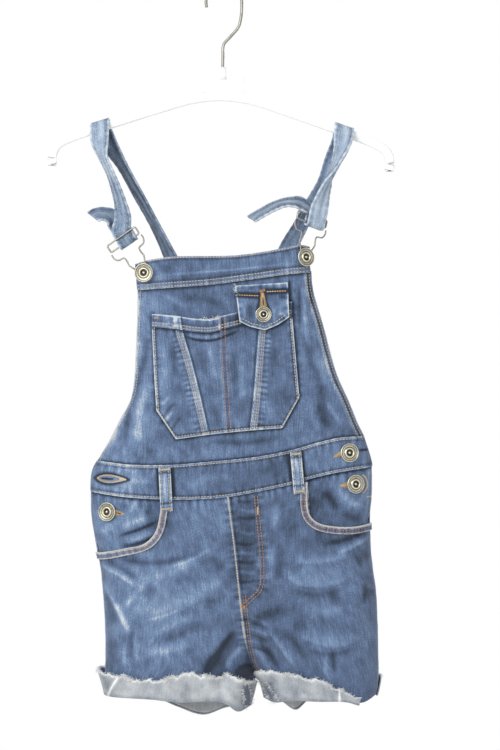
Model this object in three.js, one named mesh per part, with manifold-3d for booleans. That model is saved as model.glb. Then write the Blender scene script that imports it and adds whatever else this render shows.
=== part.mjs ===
// Kids' denim dungaree shorts hung by their straps on a white plastic hanger with a wire hook.
// Millimetres, +Z up. The front faces -Y, and left and right are as seen from the front.
// The origin is the underside of the hook's crown, where a rail carries the hanger.
import * as THREE from 'three';
import { mergeVertices } from 'three/addons/utils/BufferGeometryUtils.js';
import Module from 'manifold-3d';

const wasm = await Module();
wasm.setup();

// Driving dimensions
const seamGap = 0.3;
const layerGap = 0.7;
const clothThickness = 1.4;
const bandThickness = 2.4;
const strapWidth = 20;
const strapThickness = 2;
const buttonRadius = 9.5;
const flapButtonRadius = 8;
const pocketHemDepth = 13;
const wireRadius = 0.8;
const clipReach = 40;
const clipHalfWidth = 17;
const slideHeight = 8;
const slideThickness = 1.8;
const hangerTilt = THREE.MathUtils.degToRad(1);
const hookWireRadius = 1.5;
const hookRadius = 18;

const layerStep = clothThickness + layerGap;
const front = -1;
const back = 1;

const denim = new THREE.MeshStandardMaterial({ color: '#5f7598', roughness: 0.9, metalness: 0 });
const denimReverse = new THREE.MeshStandardMaterial({ color: '#b4b8bf', roughness: 0.95, metalness: 0 });
const strapDenim = new THREE.MeshStandardMaterial({ color: '#8ea2bd', roughness: 0.9, metalness: 0 });
const agedBrass = new THREE.MeshStandardMaterial({ color: '#a9a58c', roughness: 0.4, metalness: 0.9 });
const steelWire = new THREE.MeshStandardMaterial({ color: '#a8a297', roughness: 0.35, metalness: 0.9 });
const whitePlastic = new THREE.MeshStandardMaterial({ color: '#f4f4f2', roughness: 0.4, metalness: 0 });

const dungarees = new THREE.Group();

// Makes one closed, outward facing surface of a geometry.
function closed(geometry) {
  const source = geometry.index ? geometry.toNonIndexed() : geometry;
  const bare = new THREE.BufferGeometry().setAttribute('position', source.getAttribute('position'));
  const merged = mergeVertices(bare, 1e-3);
  const position = merged.attributes.position;
  const kept = [];
  let volume = 0;
  const corner = (i) => new THREE.Vector3().fromBufferAttribute(position, i);
  for (let i = 0; i < merged.index.count; i += 3) {
    const [a, b, c] = [0, 1, 2].map((k) => merged.index.getX(i + k));
    if (a === b || b === c || c === a) continue;
    kept.push(a, b, c);
    volume += corner(a).dot(corner(b).cross(corner(c)));
  }
  if (volume < 0) kept.reverse();
  merged.setIndex(kept);
  return merged;
}

function add(name, geometry, material, parent = dungarees) {
  const mesh = new THREE.Mesh(closed(geometry), material);
  mesh.name = name;
  parent.add(mesh);
  return mesh;
}

function solidOf(geometry) {
  const ready = closed(geometry);
  return new wasm.Manifold(new wasm.Mesh({
    numProp: 3,
    vertProperties: ready.attributes.position.array,
    triVerts: new Uint32Array(ready.index.array),
  }));
}

function geometryOf(solid) {
  const mesh = solid.getMesh();
  return new THREE.BufferGeometry()
    .setAttribute('position', new THREE.BufferAttribute(mesh.vertProperties, 3))
    .setIndex(new THREE.BufferAttribute(mesh.triVerts, 1));
}

// A table's rows as a function of one column, smooth between them.
function smoothTable(columns, rows) {
  const along = rows.map((row) => row[0]);
  const slope = (i, k) => {
    const [before, after] = [Math.max(i - 1, 0), Math.min(i + 1, rows.length - 1)];
    return (rows[after][k] - rows[before][k]) / (along[after] - along[before]);
  };
  return (at) => {
    const value = THREE.MathUtils.clamp(at, Math.min(...along), Math.max(...along));
    let i = along.findIndex((z, n) => n > 0 && (z - value) * (along[0] - value) <= 0) - 1;
    if (i < 0) i = 0;
    const span = along[i + 1] - along[i];
    const t = (value - along[i]) / span;
    const found = {};
    columns.forEach((column, k) => {
      const [p, q] = [rows[i][k], rows[i + 1][k]];
      const [m, n] = [slope(i, k) * span, slope(i + 1, k) * span];
      found[column] = p + m * t + (3 * (q - p) - 2 * m - n) * t * t + (2 * (p - q) + m + n) * t ** 3;
    });
    return found;
  };
}

// The body's outline from the front, and its fullness: how far the cloth stands forward of the side
// seams at each edge and in the middle, how far it stands behind them, and how wide the sides round away.
const levelAt = smoothTable(['z', 'left', 'right', 'leftEdge', 'rightEdge', 'front', 'back', 'round'], [
  [-262, -90, 85, 12, 1.5, 16, 15, 26],
  [-308, -86, 89, 11, 3, 18, 15, 26],
  [-340, -86.5, 98, 10, 5, 20, 16, 26],
  [-372, -87.7, 106.5, 9, 5.5, 21, 17, 26],
  [-396, -89.2, 113.8, 8, 5.5, 22, 18, 27],
  [-418, -93.5, 124, 7, 4, 23, 19, 28],
  [-440, -104.5, 133, 5.5, 1.5, 23, 20, 30],
  [-455, -112, 139.8, 3.5, 0, 23, 21, 32],
  [-479.5, -127, 147.3, 0, 0, 24, 22, 34],
  [-490, -132, 148.2, 0, 0, 25, 23, 34],
  [-512, -133.6, 148.2, 0, 0, 26, 25, 34],
  [-534, -133.2, 146.5, 0, 0, 28, 28, 34],
  [-566, -128.2, 147.1, 0, 0, 30, 31, 34],
  [-588, -124, 149.3, 0, 0, 32, 33, 33],
  [-610, -121.7, 152.4, 0, 0, 33, 34, 32],
  [-642, -119.6, 154, 0, 0, 33, 34, 32],
  [-675, -119.1, 154.7, 0, 0, 32, 33, 32],
  [-696, -119.6, 155, 0, 0, 31, 31, 32],
  [-712, -118.6, 153, 0, 0, 29, 30, 32],
  [-736, -115, 146, 0, 0, 27, 28, 32],
]);

// The centre seam down to the crotch, then the inner edge of each leg.
const crotchZ = -694;
const innerAt = smoothTable(['z', 'left', 'right'], [
  [-514, 4, 4],
  [-573, 11.6, 11.6],
  [-605, 15, 15],
  [-657, 21.4, 21.4],
  [-684, 27.5, 27.5],
  [crotchZ, 33, 33],
  [-700, 30, 38.5],
  [-712, 27.5, 41.5],
  [-736, 22, 46],
]);
const crotchRise = 56;
const innerRound = 24;

// The largest folds: soft ridges (height above 0) and troughs along a line, fading at both ends.
const foldColumns = ['x1', 'z1', 'x2', 'z2', 'width', 'height'];
const foldTable = (rows) => rows.map((row) => Object.fromEntries(row.map((v, k) => [foldColumns[k], v])));
const frontFolds = foldTable([
  [24, -640, -6, -704, 10, -11],
  [2, -655, -14, -700, 9, 4],
  [38, -640, 100, -704, 10, 3.5],
  [44, -664, 80, -716, 11, -4],
  [-125, -570, -60, -606, 9, 3],
  [-122, -596, -84, -640, 8, -3.5],
  [-116, -585, -88, -660, 7, 3],
  [-100, -560, -40, -578, 8, -2.5],
  [-90, -630, -20, -590, 10, 2],
  [-70, -660, 0, -622, 12, -2],
  [146, -556, 84, -572, 10, -2.5],
  [148, -560, 90, -584, 9, 2.5],
  [60, -600, 130, -606, 12, -2],
  [92, -640, 96, -700, 9, -2.5],
  [112, -356, 122, -444, 10, 3],
  [98, -360, 108, -440, 8, -3],
  [-78, -330, -84, -410, 10, -2.5],
  [-66, -424, -98, -474, 15, 2],
  [-40, -464, 90, -457, 9, -1.5],
]);
const backFolds = foldTable([
  [20, -640, -16, -706, 11, -8],
  [42, -640, 84, -706, 11, -7],
  [-120, -580, -50, -612, 10, 3],
  [144, -570, 78, -606, 10, 3],
  [-70, -650, -10, -616, 12, -2.5],
  [60, -618, 130, -650, 12, -2.5],
  [-40, -540, -46, -700, 14, 2],
  [80, -540, 84, -700, 14, 2],
]);

const clamp01 = (t) => Math.min(Math.max(t, 0), 1);
const softStep = (t) => clamp01(t) ** 2 * (3 - 2 * clamp01(t));
const roundOff = (distance, width) => Math.sqrt(1 - (1 - clamp01(distance / width)) ** 2);
const easeOff = (distance, width) => 1 - (1 - clamp01(distance / width)) ** 2;

function foldHeight(folds, x, z) {
  let height = 0;
  for (const fold of folds) {
    const [dx, dz] = [fold.x2 - fold.x1, fold.z2 - fold.z1];
    const along = ((x - fold.x1) * dx + (z - fold.z1) * dz) / (dx * dx + dz * dz);
    const off = Math.abs((x - fold.x1) * dz - (z - fold.z1) * dx) / Math.hypot(dx, dz);
    const fade = softStep((along + 0.25) * 2.5) * softStep((1.25 - along) * 2.5);
    height += fold.height * fade * Math.exp(-((off / fold.width) ** 2));
  }
  return height;
}

// How far the cloth's middle surface stands from the plane of the side seams.
function fullness(face, x, z) {
  const level = levelAt(z);
  const [full, folds] = face === front ? [level.front, frontFolds] : [level.back, backFolds];
  const onLeft = roundOff(x - level.left, level.round);
  const onRight = roundOff(level.right - x, level.round);
  const [leftEdge, rightEdge] = face === front ? [level.leftEdge, level.rightEdge] : [0, 0];
  let depth = full - (full - leftEdge) * (1 - onLeft) - (full - rightEdge) * (1 - onRight);
  const inner = innerAt(z);
  const fromInner = x < (inner.left + inner.right) / 2 ? inner.left - x : x - inner.right;
  const turnUnder = softStep((crotchZ + crotchRise - z) / crotchRise);
  const nearInner = easeOff(fromInner, innerRound);
  depth *= 1 - turnUnder * (1 - nearInner);
  const openLeg = z < crotchZ + crotchRise ? nearInner : 1;
  return depth + foldHeight(folds, x, z) * Math.min(onLeft, onRight) * openLeg;
}

// A point of the body's middle surface, and the direction out of the cloth there.
function surface(face, x, z) {
  const step = 0.05;
  const across = (fullness(face, x + step, z) - fullness(face, x - step, z)) / (2 * step);
  const down = (fullness(face, x, z + step) - fullness(face, x, z - step)) / (2 * step);
  const point = new THREE.Vector3(x, face * (seamGap / 2 + fullness(face, x, z)), z);
  return { point, normal: new THREE.Vector3(-across, face, -down).normalize() };
}

// Curves in the front plane, as functions from 0 to 1 that give [x, z].
function smooth(points) {
  const curve = new THREE.CatmullRomCurve3(points.map(([x, z]) => new THREE.Vector3(x, 0, z)), false, 'centripetal');
  return (t) => {
    const p = curve.getPointAt(clamp01(t));
    return [p.x, p.z];
  };
}

function straight(points) {
  const segments = points.length - 1;
  return (t) => {
    const i = Math.min(Math.floor(t * segments), segments - 1);
    const share = t * segments - i;
    return [0, 1].map((k) => points[i][k] * (1 - share) + points[i + 1][k] * share);
  };
}

const joined = (first, second, share = 0.5) => (t) => (t < share ? first(t / share) : second((t - share) / (1 - share)));
const edgeOf = (side, top, bottom) => (t) => {
  const z = top + (bottom - top) * t;
  return [levelAt(z)[side], z];
};
const innerEdge = (side, top, bottom) => (t) => {
  const seamShare = 0.8;
  const z = t < seamShare ? top + ((crotchZ - top) * t) / seamShare
    : crotchZ + ((bottom - crotchZ) * (t - seamShare)) / (1 - seamShare);
  return [innerAt(z)[side] + (side === 'left' ? -seamGap / 2 : seamGap / 2), z];
};

// The patch of the front plane inside four curves.
function patch(top, bottom, left, right) {
  return (u, v) => [0, 1].map((k) => (
    (1 - v) * top(u)[k] + v * bottom(u)[k] + (1 - u) * left(v)[k] + u * right(v)[k]
    - (1 - u) * (1 - v) * top(0)[k] - u * (1 - v) * top(1)[k]
    - (1 - u) * v * bottom(0)[k] - u * v * bottom(1)[k]
  ));
}

// A closed wall from a grid of middle points and outward directions.
function wallGeometry(at, columns, rows, thickness) {
  const points = [];
  for (const side of [1, -1]) {
    for (let j = 0; j <= rows; j += 1) {
      for (let i = 0; i <= columns; i += 1) {
        const { point, normal } = at(i / columns, j / rows);
        points.push(point.clone().addScaledVector(normal, (side * thickness) / 2));
      }
    }
  }
  const wide = columns + 1;
  const layer = wide * (rows + 1);
  const index = [];
  const quad = (a, b, c, d) => index.push(a, b, c, a, c, d);
  for (let j = 0; j < rows; j += 1) {
    for (let i = 0; i < columns; i += 1) {
      const a = j * wide + i;
      quad(a, a + 1, a + wide + 1, a + wide);
      quad(layer + a, layer + a + wide, layer + a + wide + 1, layer + a + 1);
    }
    const [l, r] = [j * wide, j * wide + columns];
    quad(l, l + wide, layer + l + wide, layer + l);
    quad(r, layer + r, layer + r + wide, r + wide);
  }
  for (let i = 0; i < columns; i += 1) {
    const [t, b] = [i, rows * wide + i];
    quad(t, layer + t, layer + t + 1, t + 1);
    quad(b, b + 1, layer + b + 1, layer + b);
  }
  return new THREE.BufferGeometry().setFromPoints(points).setIndex(index);
}

const spread = {
  even: (u) => u,
  bothEnds: (u) => (1 - Math.cos(Math.PI * u)) / 2,
  leftEnd: (u) => 1 - Math.cos((Math.PI * u) / 2),
  rightEnd: (u) => Math.sin((Math.PI * u) / 2),
};

// Where a panel's edge meets the panel on the garment's other face, its thickness stays in the seam's plane.
function flattenAt(edge, normal, z) {
  const flat = normal.clone();
  if (edge === 'side') flat.y = 0;
  if (edge === 'inner') {
    if (Math.abs(z - crotchZ) < 1) return new THREE.Vector3(0, 0, -1);
    if (z > crotchZ) flat.x = 0;
    else flat.y = 0;
  }
  return flat.normalize();
}

// A cloth panel on one face of the body. lift moves it out of the face, in millimetres.
function panel(name, face, region, options = {}) {
  const {
    columns = 12, rows = 8, lift = 0, thickness = clothThickness, material = denim,
    across = 'even', leftSeam = null, rightSeam = null,
  } = options;
  const at = (u, v) => {
    const [x, z] = region(spread[across](u), v);
    const { point, normal } = surface(face, x, z);
    const edge = u === 0 ? leftSeam : u === 1 ? rightSeam : null;
    const out = edge ? flattenAt(edge, normal, z) : normal;
    if (edge === 'side' || (edge === 'inner' && z < crotchZ + 1)) point.y = (face * seamGap) / 2;
    const height = typeof lift === 'function' ? lift(u, v) : lift;
    return { point: point.addScaledVector(out, height), normal: out };
  };
  return add(name, wallGeometry(at, columns, rows, thickness), material);
}

// Seam lines that two panels share
const bibTop = smooth([[-89.5, -282], [-74, -277.5], [-51, -274.5], [13, -273], [57, -266.5], [77, -262.8], [85, -264]]);
const bibBandSeam = smooth([[-86.2, -308], [-50, -305.5], [-12, -302.5], [30, -297], [61.5, -292.5], [85.6, -290]]);
const waistTop = smooth([[-127, -479.5], [-88, -482.7], [-51, -482.7], [-12, -479.4], [31, -475], [68, -468],
  [96, -460], [118, -455.3], [139.8, -455]]);
const waistBottom = smooth([[-133.5, -510], [-99, -514.8], [-66, -517], [-25, -517], [3, -514.8], [31, -510],
  [68, -502], [81, -498.1], [107, -491.6], [148.3, -485]]);
const lowered = (curve, drop) => (t) => [curve(t)[0], curve(t)[1] - drop];
const onCurve = (curve, x) => {
  let [low, high] = [0, 1];
  for (let n = 0; n < 30; n += 1) {
    const middle = (low + high) / 2;
    if (curve(middle)[0] < x) low = middle;
    else high = middle;
  }
  return low;
};
const stretch = (curve, from, to) => (t) => curve(from + (to - from) * t);
const lineBetween = (a, b) => straight([a, b]);

// Bib: one panel from the waistband to the band along its top edge
panel('bib_front', front, patch(
  lowered(bibBandSeam, seamGap),
  lowered(waistTop, -2 * seamGap),
  edgeOf('left', -308.3, -479.2),
  edgeOf('right', -290.3, -454.7),
), { columns: 14, rows: 12, across: 'bothEnds' });
panel('bib_top_band', front, patch(
  bibTop,
  bibBandSeam,
  lineBetween([-89.5, -282], [-86.2, -308]),
  lineBetween([85, -264], [85.6, -290]),
), { columns: 14, rows: 2, thickness: bandThickness, across: 'bothEnds' });

// Bib pocket: four joined panels, a folded hem along the mouth and a buttoned flap at its corner
const mouthSag = [[-71.2, -332], [-46, -334.5], [-30, -337], [-12, -337.5], [0, -334], [20, -329], [40, -322], [68, -320]];
const pocketMouth = smooth(mouthSag);
const pocketHemLine = lowered(pocketMouth, pocketHemDepth);
const pocketBottom = smooth([[-48, -457.1], [-14.4, -452.3], [29, -448], [58.2, -445.8]]);
const pocketSeams = [
  { top: [-46, 0], bottom: [-17.5, 0] },
  { top: [-1.5, 0], bottom: [5, 0] },
  { top: [40.5, 0], bottom: [29.5, 0] },
];
const pocketLift = layerStep;
const pocketGape = (x, z) => pocketLift + 3 * Math.exp(-(((x + 12) / 30) ** 2)) * softStep((z + 395) / 60);
function pocketPanel(name, region, columns, rows) {
  const at = (u, v) => {
    const [x, z] = region(u, v);
    const { point, normal } = surface(front, x, z);
    return { point: point.addScaledVector(normal, pocketGape(x, z)), normal };
  };
  add(name, wallGeometry(at, columns, rows, clothThickness), denim);
}
const hemPoint = (x) => pocketHemLine(onCurve(pocketMouth, x));
const bottomPoint = (x) => pocketBottom(onCurve(pocketBottom, x));
const besideSeam = (k, side) => {
  const { top, bottom } = pocketSeams[k];
  const [tx, bx] = [top[0] + (side * seamGap) / 2, bottom[0] + (side * seamGap) / 2];
  const [start, end] = [hemPoint(tx), bottomPoint(bx)];
  return lineBetween([start[0], start[1] - seamGap], end);
};
const leftCorner = [-67.5, -428.5];
const rightCorner = [75.2, -415.4];
const pocketTopPart = (from, to) => lowered(stretch(pocketHemLine, onCurve(pocketMouth, from), onCurve(pocketMouth, to)), seamGap);
const pocketBottomPart = (from, to) => stretch(pocketBottom, onCurve(pocketBottom, from), onCurve(pocketBottom, to));
pocketPanel('bib_pocket_left', patch(
  pocketTopPart(-71.2, -46.15),
  joined(lineBetween(leftCorner, [-48, -457.1]), pocketBottomPart(-48, -17.65)),
  lineBetween(pocketTopPart(-71.2, -46.15)(0), leftCorner),
  besideSeam(0, -1),
), 6, 6);
pocketPanel('bib_pocket_centre_left', patch(
  pocketTopPart(-45.85, -1.65),
  pocketBottomPart(-17.35, 4.85),
  besideSeam(0, 1),
  besideSeam(1, -1),
), 5, 6);
pocketPanel('bib_pocket_centre_right', patch(
  pocketTopPart(-1.35, 40.35),
  pocketBottomPart(5.15, 29.35),
  besideSeam(1, 1),
  besideSeam(2, -1),
), 5, 6);
pocketPanel('bib_pocket_right', patch(
  pocketTopPart(40.65, 68),
  joined(pocketBottomPart(29.65, 58.2), lineBetween([58.2, -445.8], rightCorner)),
  besideSeam(2, 1),
  lineBetween(pocketTopPart(40.65, 68)(1), rightCorner),
), 6, 6);
const hemRegion = patch(pocketMouth, pocketHemLine, lineBetween(mouthSag[0], pocketHemLine(0)),
  lineBetween(mouthSag[7], pocketHemLine(1)));
const hemThickness = 2;
add('bib_pocket_hem', wallGeometry((u, v) => {
  const [x, z] = hemRegion(u, v);
  const { point, normal } = surface(front, x, z);
  const lift = pocketGape(x, z) + (hemThickness - clothThickness) / 2;
  return { point: point.addScaledVector(normal, lift), normal };
}, 16, 2, hemThickness), denim);

const flapTop = lineBetween([11, -304], [63.7, -300.5]);
const flapBottom = straight([[15.5, -340], [26, -345], [40.9, -348.6], [54, -343], [65.2, -335.5]]);
const flapRise = pocketLift + hemThickness - clothThickness / 2 + seamGap + clothThickness / 2 + 0.5;
const flapLift = (u, v) => {
  const [x, z] = [11 + 52.7 * u, -302 - 42 * v];
  return layerStep + (flapRise - layerStep + pocketGape(x, z) - pocketLift) * softStep(v / 0.45);
};
panel('bib_pocket_flap', front, patch(
  flapTop,
  flapBottom,
  lineBetween([11, -304], [15.5, -340]),
  lineBetween([63.7, -300.5], [65.2, -335.5]),
), { columns: 6, rows: 5, lift: flapLift });

// Waistband, in a front and a back half that meet at the sides
panel('waistband_front', front, patch(
  waistTop,
  waistBottom,
  edgeOf('left', -479.5, -510),
  edgeOf('right', -455, -485),
), { columns: 20, rows: 2, thickness: bandThickness, across: 'bothEnds', leftSeam: 'side', rightSeam: 'side' });
panel('waistband_back', back, patch(
  waistTop,
  waistBottom,
  edgeOf('left', -479.5, -510),
  edgeOf('right', -455, -485),
), { columns: 20, rows: 2, thickness: bandThickness, across: 'bothEnds', leftSeam: 'side', rightSeam: 'side' });

const loopLift = bandThickness / 2 + seamGap + 0.8;
function beltLoop(name, top, bottom, width) {
  panel(name, front, patch(
    lineBetween([top[0] - width / 2, top[1]], [top[0] + width / 2, top[1] + 1]),
    lineBetween([bottom[0] - width / 2, bottom[1]], [bottom[0] + width / 2, bottom[1] + 1]),
    lineBetween([top[0] - width / 2, top[1]], [bottom[0] - width / 2, bottom[1]]),
    lineBetween([top[0] + width / 2, top[1] + 1], [bottom[0] + width / 2, bottom[1] + 1]),
  ), { columns: 1, rows: 6, lift: (u, v) => loopLift + 1.1 * Math.sin(Math.PI * v), thickness: 1.6 });
}
beltLoop('belt_loop_left', [-59.3, -486], [-57, -529.5], 12);
beltLoop('belt_loop_right', [71.5, -470.5], [75.2, -512], 11);

// Shorts: front panels cut away at the pockets, and whole back panels
const pocketCurveLeft = [[-129.2, -570.5], [-120, -570], [-99, -566.4], [-81.6, -562], [-70.8, -553.4],
  [-66.4, -544.7], [-63.8, -531.7], [-61.5, -517.2]];
const pocketCurveRight = [[83.4, -497.8], [83.7, -525], [86.4, -533.9], [94, -540.4], [107, -543.6],
  [128.7, -544.3], [146, -541.7]];
const shortsTopLeft = joined(
  smooth(pocketCurveLeft),
  lowered(stretch(waistBottom, onCurve(waistBottom, -61.5), onCurve(waistBottom, 4 - seamGap / 2)), seamGap),
);
const shortsTopRight = joined(
  lowered(stretch(waistBottom, onCurve(waistBottom, 4 + seamGap / 2), onCurve(waistBottom, 83.4)), seamGap),
  smooth(pocketCurveRight),
);
const hemFrontLeft = smooth([[-118.5, -713], [-89, -715], [-72, -717], [-58, -720], [-16, -718.8], [4, -720], [23.6, -726]]);
const hemFrontRight = smooth([[42.8, -716], [59, -717], [83, -718], [121, -718.8], [138, -722], [152.6, -714]]);
const hemBackLeft = smooth([[-118.5, -713], [-72, -719], [-40, -729], [-21, -733], [2, -728], [24.2, -724]]);
const hemBackRight = smooth([[42.8, -716], [58, -722], [73, -728], [88, -722], [121, -719], [152.6, -714]]);
const hemTuck = 0.5;
const legRegion = (top, hem, outer, inner) => patch(top, lowered(hem, -hemTuck), outer, inner);

panel('shorts_front_left', front, legRegion(
  shortsTopLeft, hemFrontLeft,
  edgeOf('left', -570.5, -713 + hemTuck), innerEdge('left', shortsTopLeft(1)[1], -726 + hemTuck),
), { columns: 16, rows: 15, across: 'bothEnds', leftSeam: 'side', rightSeam: 'inner' });
panel('shorts_front_right', front, patch(
  shortsTopRight, lowered(hemFrontRight, -hemTuck),
  innerEdge('right', shortsTopRight(0)[1], -716 + hemTuck), edgeOf('right', -541.7, -714 + hemTuck),
), { columns: 16, rows: 15, across: 'bothEnds', leftSeam: 'inner', rightSeam: 'side' });
const backTopLeft = lowered(stretch(waistBottom, 0, onCurve(waistBottom, 4 - seamGap / 2)), seamGap);
const backTopRight = lowered(stretch(waistBottom, onCurve(waistBottom, 4 + seamGap / 2), 1), seamGap);
panel('shorts_back_left', back, legRegion(
  backTopLeft, hemBackLeft,
  edgeOf('left', -510.3, -713 + hemTuck), innerEdge('left', backTopLeft(1)[1], -724 + hemTuck),
), { columns: 14, rows: 10, across: 'bothEnds', leftSeam: 'side', rightSeam: 'inner' });
panel('shorts_back_right', back, patch(
  backTopRight, lowered(hemBackRight, -hemTuck),
  innerEdge('right', backTopRight(0)[1], -716 + hemTuck), edgeOf('right', -485.3, -714 + hemTuck),
), { columns: 14, rows: 10, across: 'bothEnds', leftSeam: 'inner', rightSeam: 'side' });

// Side pieces: they fill the pocket openings, tucked under the front panels, and carry the side buttons
const tuck = 11;
panel('side_piece_left', front, patch(
  lowered(stretch(waistBottom, 0, onCurve(waistBottom, -58)), seamGap),
  smooth([[-128.4, -581], [-96, -577.5], [-73, -571], [-60, -556], [-54, -540]]),
  edgeOf('left', -510.3, -581),
  lineBetween([-58, -517.4], [-54, -540]),
), { columns: 10, rows: 6, lift: -layerStep - seamGap, across: 'leftEnd', leftSeam: 'side' });
panel('side_piece_right', front, patch(
  lowered(stretch(waistBottom, onCurve(waistBottom, 79), 1), seamGap),
  smooth([[76, -530], [80, -545], [92, -554], [112, -556], [146.5, -552]]),
  lineBetween([79, -499.2], [76, -530]),
  edgeOf('right', -485.3, -552),
), { columns: 10, rows: 6, lift: -layerStep - seamGap, across: 'rightEnd', rightSeam: 'side' });

// The folded edge along each pocket opening
const bindingWidth = 7;
function pocketBinding(name, curve, side) {
  const region = (across, v) => {
    const u = side === 'left' ? spread.leftEnd(across) : spread.rightEnd(across);
    const [x, z] = curve(u);
    const [nearX, nearZ] = curve(Math.min(u + 0.01, 1));
    const [farX, farZ] = curve(Math.max(u - 0.01, 0));
    const length = Math.hypot(nearX - farX, nearZ - farZ);
    const inward = [(nearZ - farZ) / length, -(nearX - farX) / length];
    return [x + inward[0] * bindingWidth * v, z + inward[1] * bindingWidth * v];
  };
  panel(name, front, (u, v) => {
    const [x, z] = region(u, v);
    const level = levelAt(z);
    return [THREE.MathUtils.clamp(x, level.left, level.right), z];
  }, {
    columns: 14, rows: 1, lift: layerStep + 0.2, thickness: 1.2,
    leftSeam: side === 'left' ? 'side' : null, rightSeam: side === 'right' ? 'side' : null,
  });
}
const bindingLeft = smooth(pocketCurveLeft.slice(0, 7));
const bindingRight = smooth(pocketCurveRight.slice(1));
pocketBinding('pocket_binding_left', (t) => bindingLeft(t), 'left');
pocketBinding('pocket_binding_right', (t) => bindingRight(t), 'right');

// Turned-up cuffs: the same cloth folded once to the outside, so its reverse shows. Each wraps under the hem.
const turnRadius = layerStep / 2 + 0.15;
const turnSteps = 3;
function cuff(name, face, top, hem, leftSide, rightSide, flare, options) {
  const { columns, leftSeam, rightSeam } = options;
  const wallRows = 3;
  const rows = wallRows + turnSteps;
  const at = (u, v) => {
    const row = Math.round(v * rows);
    const down = Math.min(row / wallRows, 1);
    const turn = (Math.max(row - wallRows, 0) / turnSteps) * Math.PI;
    const s = spread.bothEnds(u);
    const [hemX, hemZ] = hem(s);
    const [startX, endX] = [hem(0)[0], hem(1)[0]];
    const z = top(onCurve(top, hemX))[1] * (1 - down) + hemZ * down;
    const share = (hemX - startX) / (endX - startX);
    const x = leftSide(z) + (rightSide(z) - leftSide(z)) * share;
    const { point, normal } = surface(face, x, z);
    const edge = u === 0 ? leftSeam : u === 1 ? rightSeam : null;
    const out = edge ? flattenAt(edge, normal, z) : normal;
    if (edge) point.y = (face * seamGap) / 2;
    const lift = turnRadius * (1 + Math.cos(turn)) + flare(s) * (1 - down) ** 1.5;
    point.addScaledVector(out, lift);
    point.z -= turnRadius * Math.sin(turn);
    const facing = out.clone().multiplyScalar(Math.cos(turn)).add(new THREE.Vector3(0, 0, -Math.sin(turn)));
    return { point, normal: facing.normalize() };
  };
  add(name, wallGeometry(at, columns, rows, clothThickness), denimReverse);
}
const outerLeft = (z) => levelAt(z).left;
const outerRight = (z) => levelAt(z).right;
const innerLeft = (z) => innerAt(z).left;
const innerRight = (z) => innerAt(z).right;
const cuffTopFrontLeft = smooth([[-119.5, -690], [-102, -691.6], [-92, -696], [-61, -694.8], [-38.6, -690], [-16, -692.6],
  [6, -695.5], [28, -702]]);
const cuffTopFrontRight = smooth([[39.5, -701], [45, -696.5], [54, -694], [64, -693.5], [77, -694.5], [92.6, -699], [109.8, -706],
  [121.3, -710.5], [133, -717]]);
const cuffTopBackLeft = smooth([[-119.5, -690], [-90, -692], [-40, -697], [0, -699], [28, -702]]);
const cuffTopBackRight = smooth([[39.5, -701], [70, -698], [110, -696], [154, -697]]);
const taperedHem = lowered(stretch(hemFrontRight, 0, onCurve(hemFrontRight, 134)), 0.5);
cuff('cuff_front_left', front, cuffTopFrontLeft, hemFrontLeft, outerLeft, innerLeft,
  (s) => 1 + 4.5 * (1 - s) ** 4, { columns: 16, leftSeam: 'side', rightSeam: 'inner' });
cuff('cuff_front_right', front, cuffTopFrontRight, taperedHem, innerRight, (z) => 134 + (z + 720.5) * 0.2,
  () => 1, { columns: 16, leftSeam: 'inner', rightSeam: null });
cuff('cuff_back_left', back, cuffTopBackLeft, hemBackLeft, outerLeft, innerLeft,
  (s) => 1 + 4.5 * (1 - s) ** 4, { columns: 14, leftSeam: 'side', rightSeam: 'inner' });
cuff('cuff_back_right', back, cuffTopBackRight, hemBackRight, innerRight, outerRight,
  () => 1, { columns: 14, leftSeam: 'inner', rightSeam: 'side' });

// Back bib: rises from the back waistband and narrows to where the straps are sewn on
const backBibTop = smooth([[-24, -367], [2, -365], [28, -367]]);
const backBibBottom = lowered(waistTop, -3 * seamGap);
panel('back_bib', back, patch(
  backBibTop,
  stretch(backBibBottom, 0.01, 0.985),
  smooth([[-24, -367], [-38, -402], [-66, -438], [-98, -464], backBibBottom(0.01)]),
  smooth([[28, -367], [42, -396], [72, -424], [106, -444], backBibBottom(0.985)]),
), { columns: 12, rows: 9, across: 'bothEnds' });

// Directions for straps and clips: lean turns the line across a strap in the front plane, from level,
// and turn swings its right end towards the front.
const radians = THREE.MathUtils.degToRad;
function acrossOf(lean, turn) {
  const [l, t] = [radians(lean), radians(turn)];
  return new THREE.Vector3(Math.cos(t) * Math.cos(l), -Math.sin(t), Math.cos(t) * Math.sin(l));
}

// Clips: a wire loop that slips over the bib button, hung from a two-bar slide that the strap goes round
const clips = {
  left: { button: [-80.2, -290.8], lean: 33 },
  right: { button: [80.7, -275.4], lean: -11.5 },
};
const shankLength = 4.4;
for (const clip of Object.values(clips)) {
  const [x, z] = clip.button;
  const { point, normal } = surface(front, x, z);
  clip.seat = point.clone().addScaledVector(normal, bandThickness / 2 + seamGap);
  clip.facing = normal;
  clip.hold = clip.seat.clone().addScaledVector(normal, shankLength / 2);
  const [downX, downZ] = [Math.sin(radians(clip.lean)), -Math.cos(radians(clip.lean))];
  clip.down = new THREE.Vector3(downX, -(normal.x * downX + normal.z * downZ) / normal.y, downZ).normalize();
  clip.across = normal.clone().cross(clip.down).normalize();
  clip.out = normal;
  clip.slide = clip.hold.clone().addScaledVector(clip.down, -clipReach);
}
const inClip = (clip, across, down, out = 0) => clip.slide.clone()
  .addScaledVector(clip.across, across).addScaledVector(clip.down, down).addScaledVector(clip.out, out);

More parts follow.
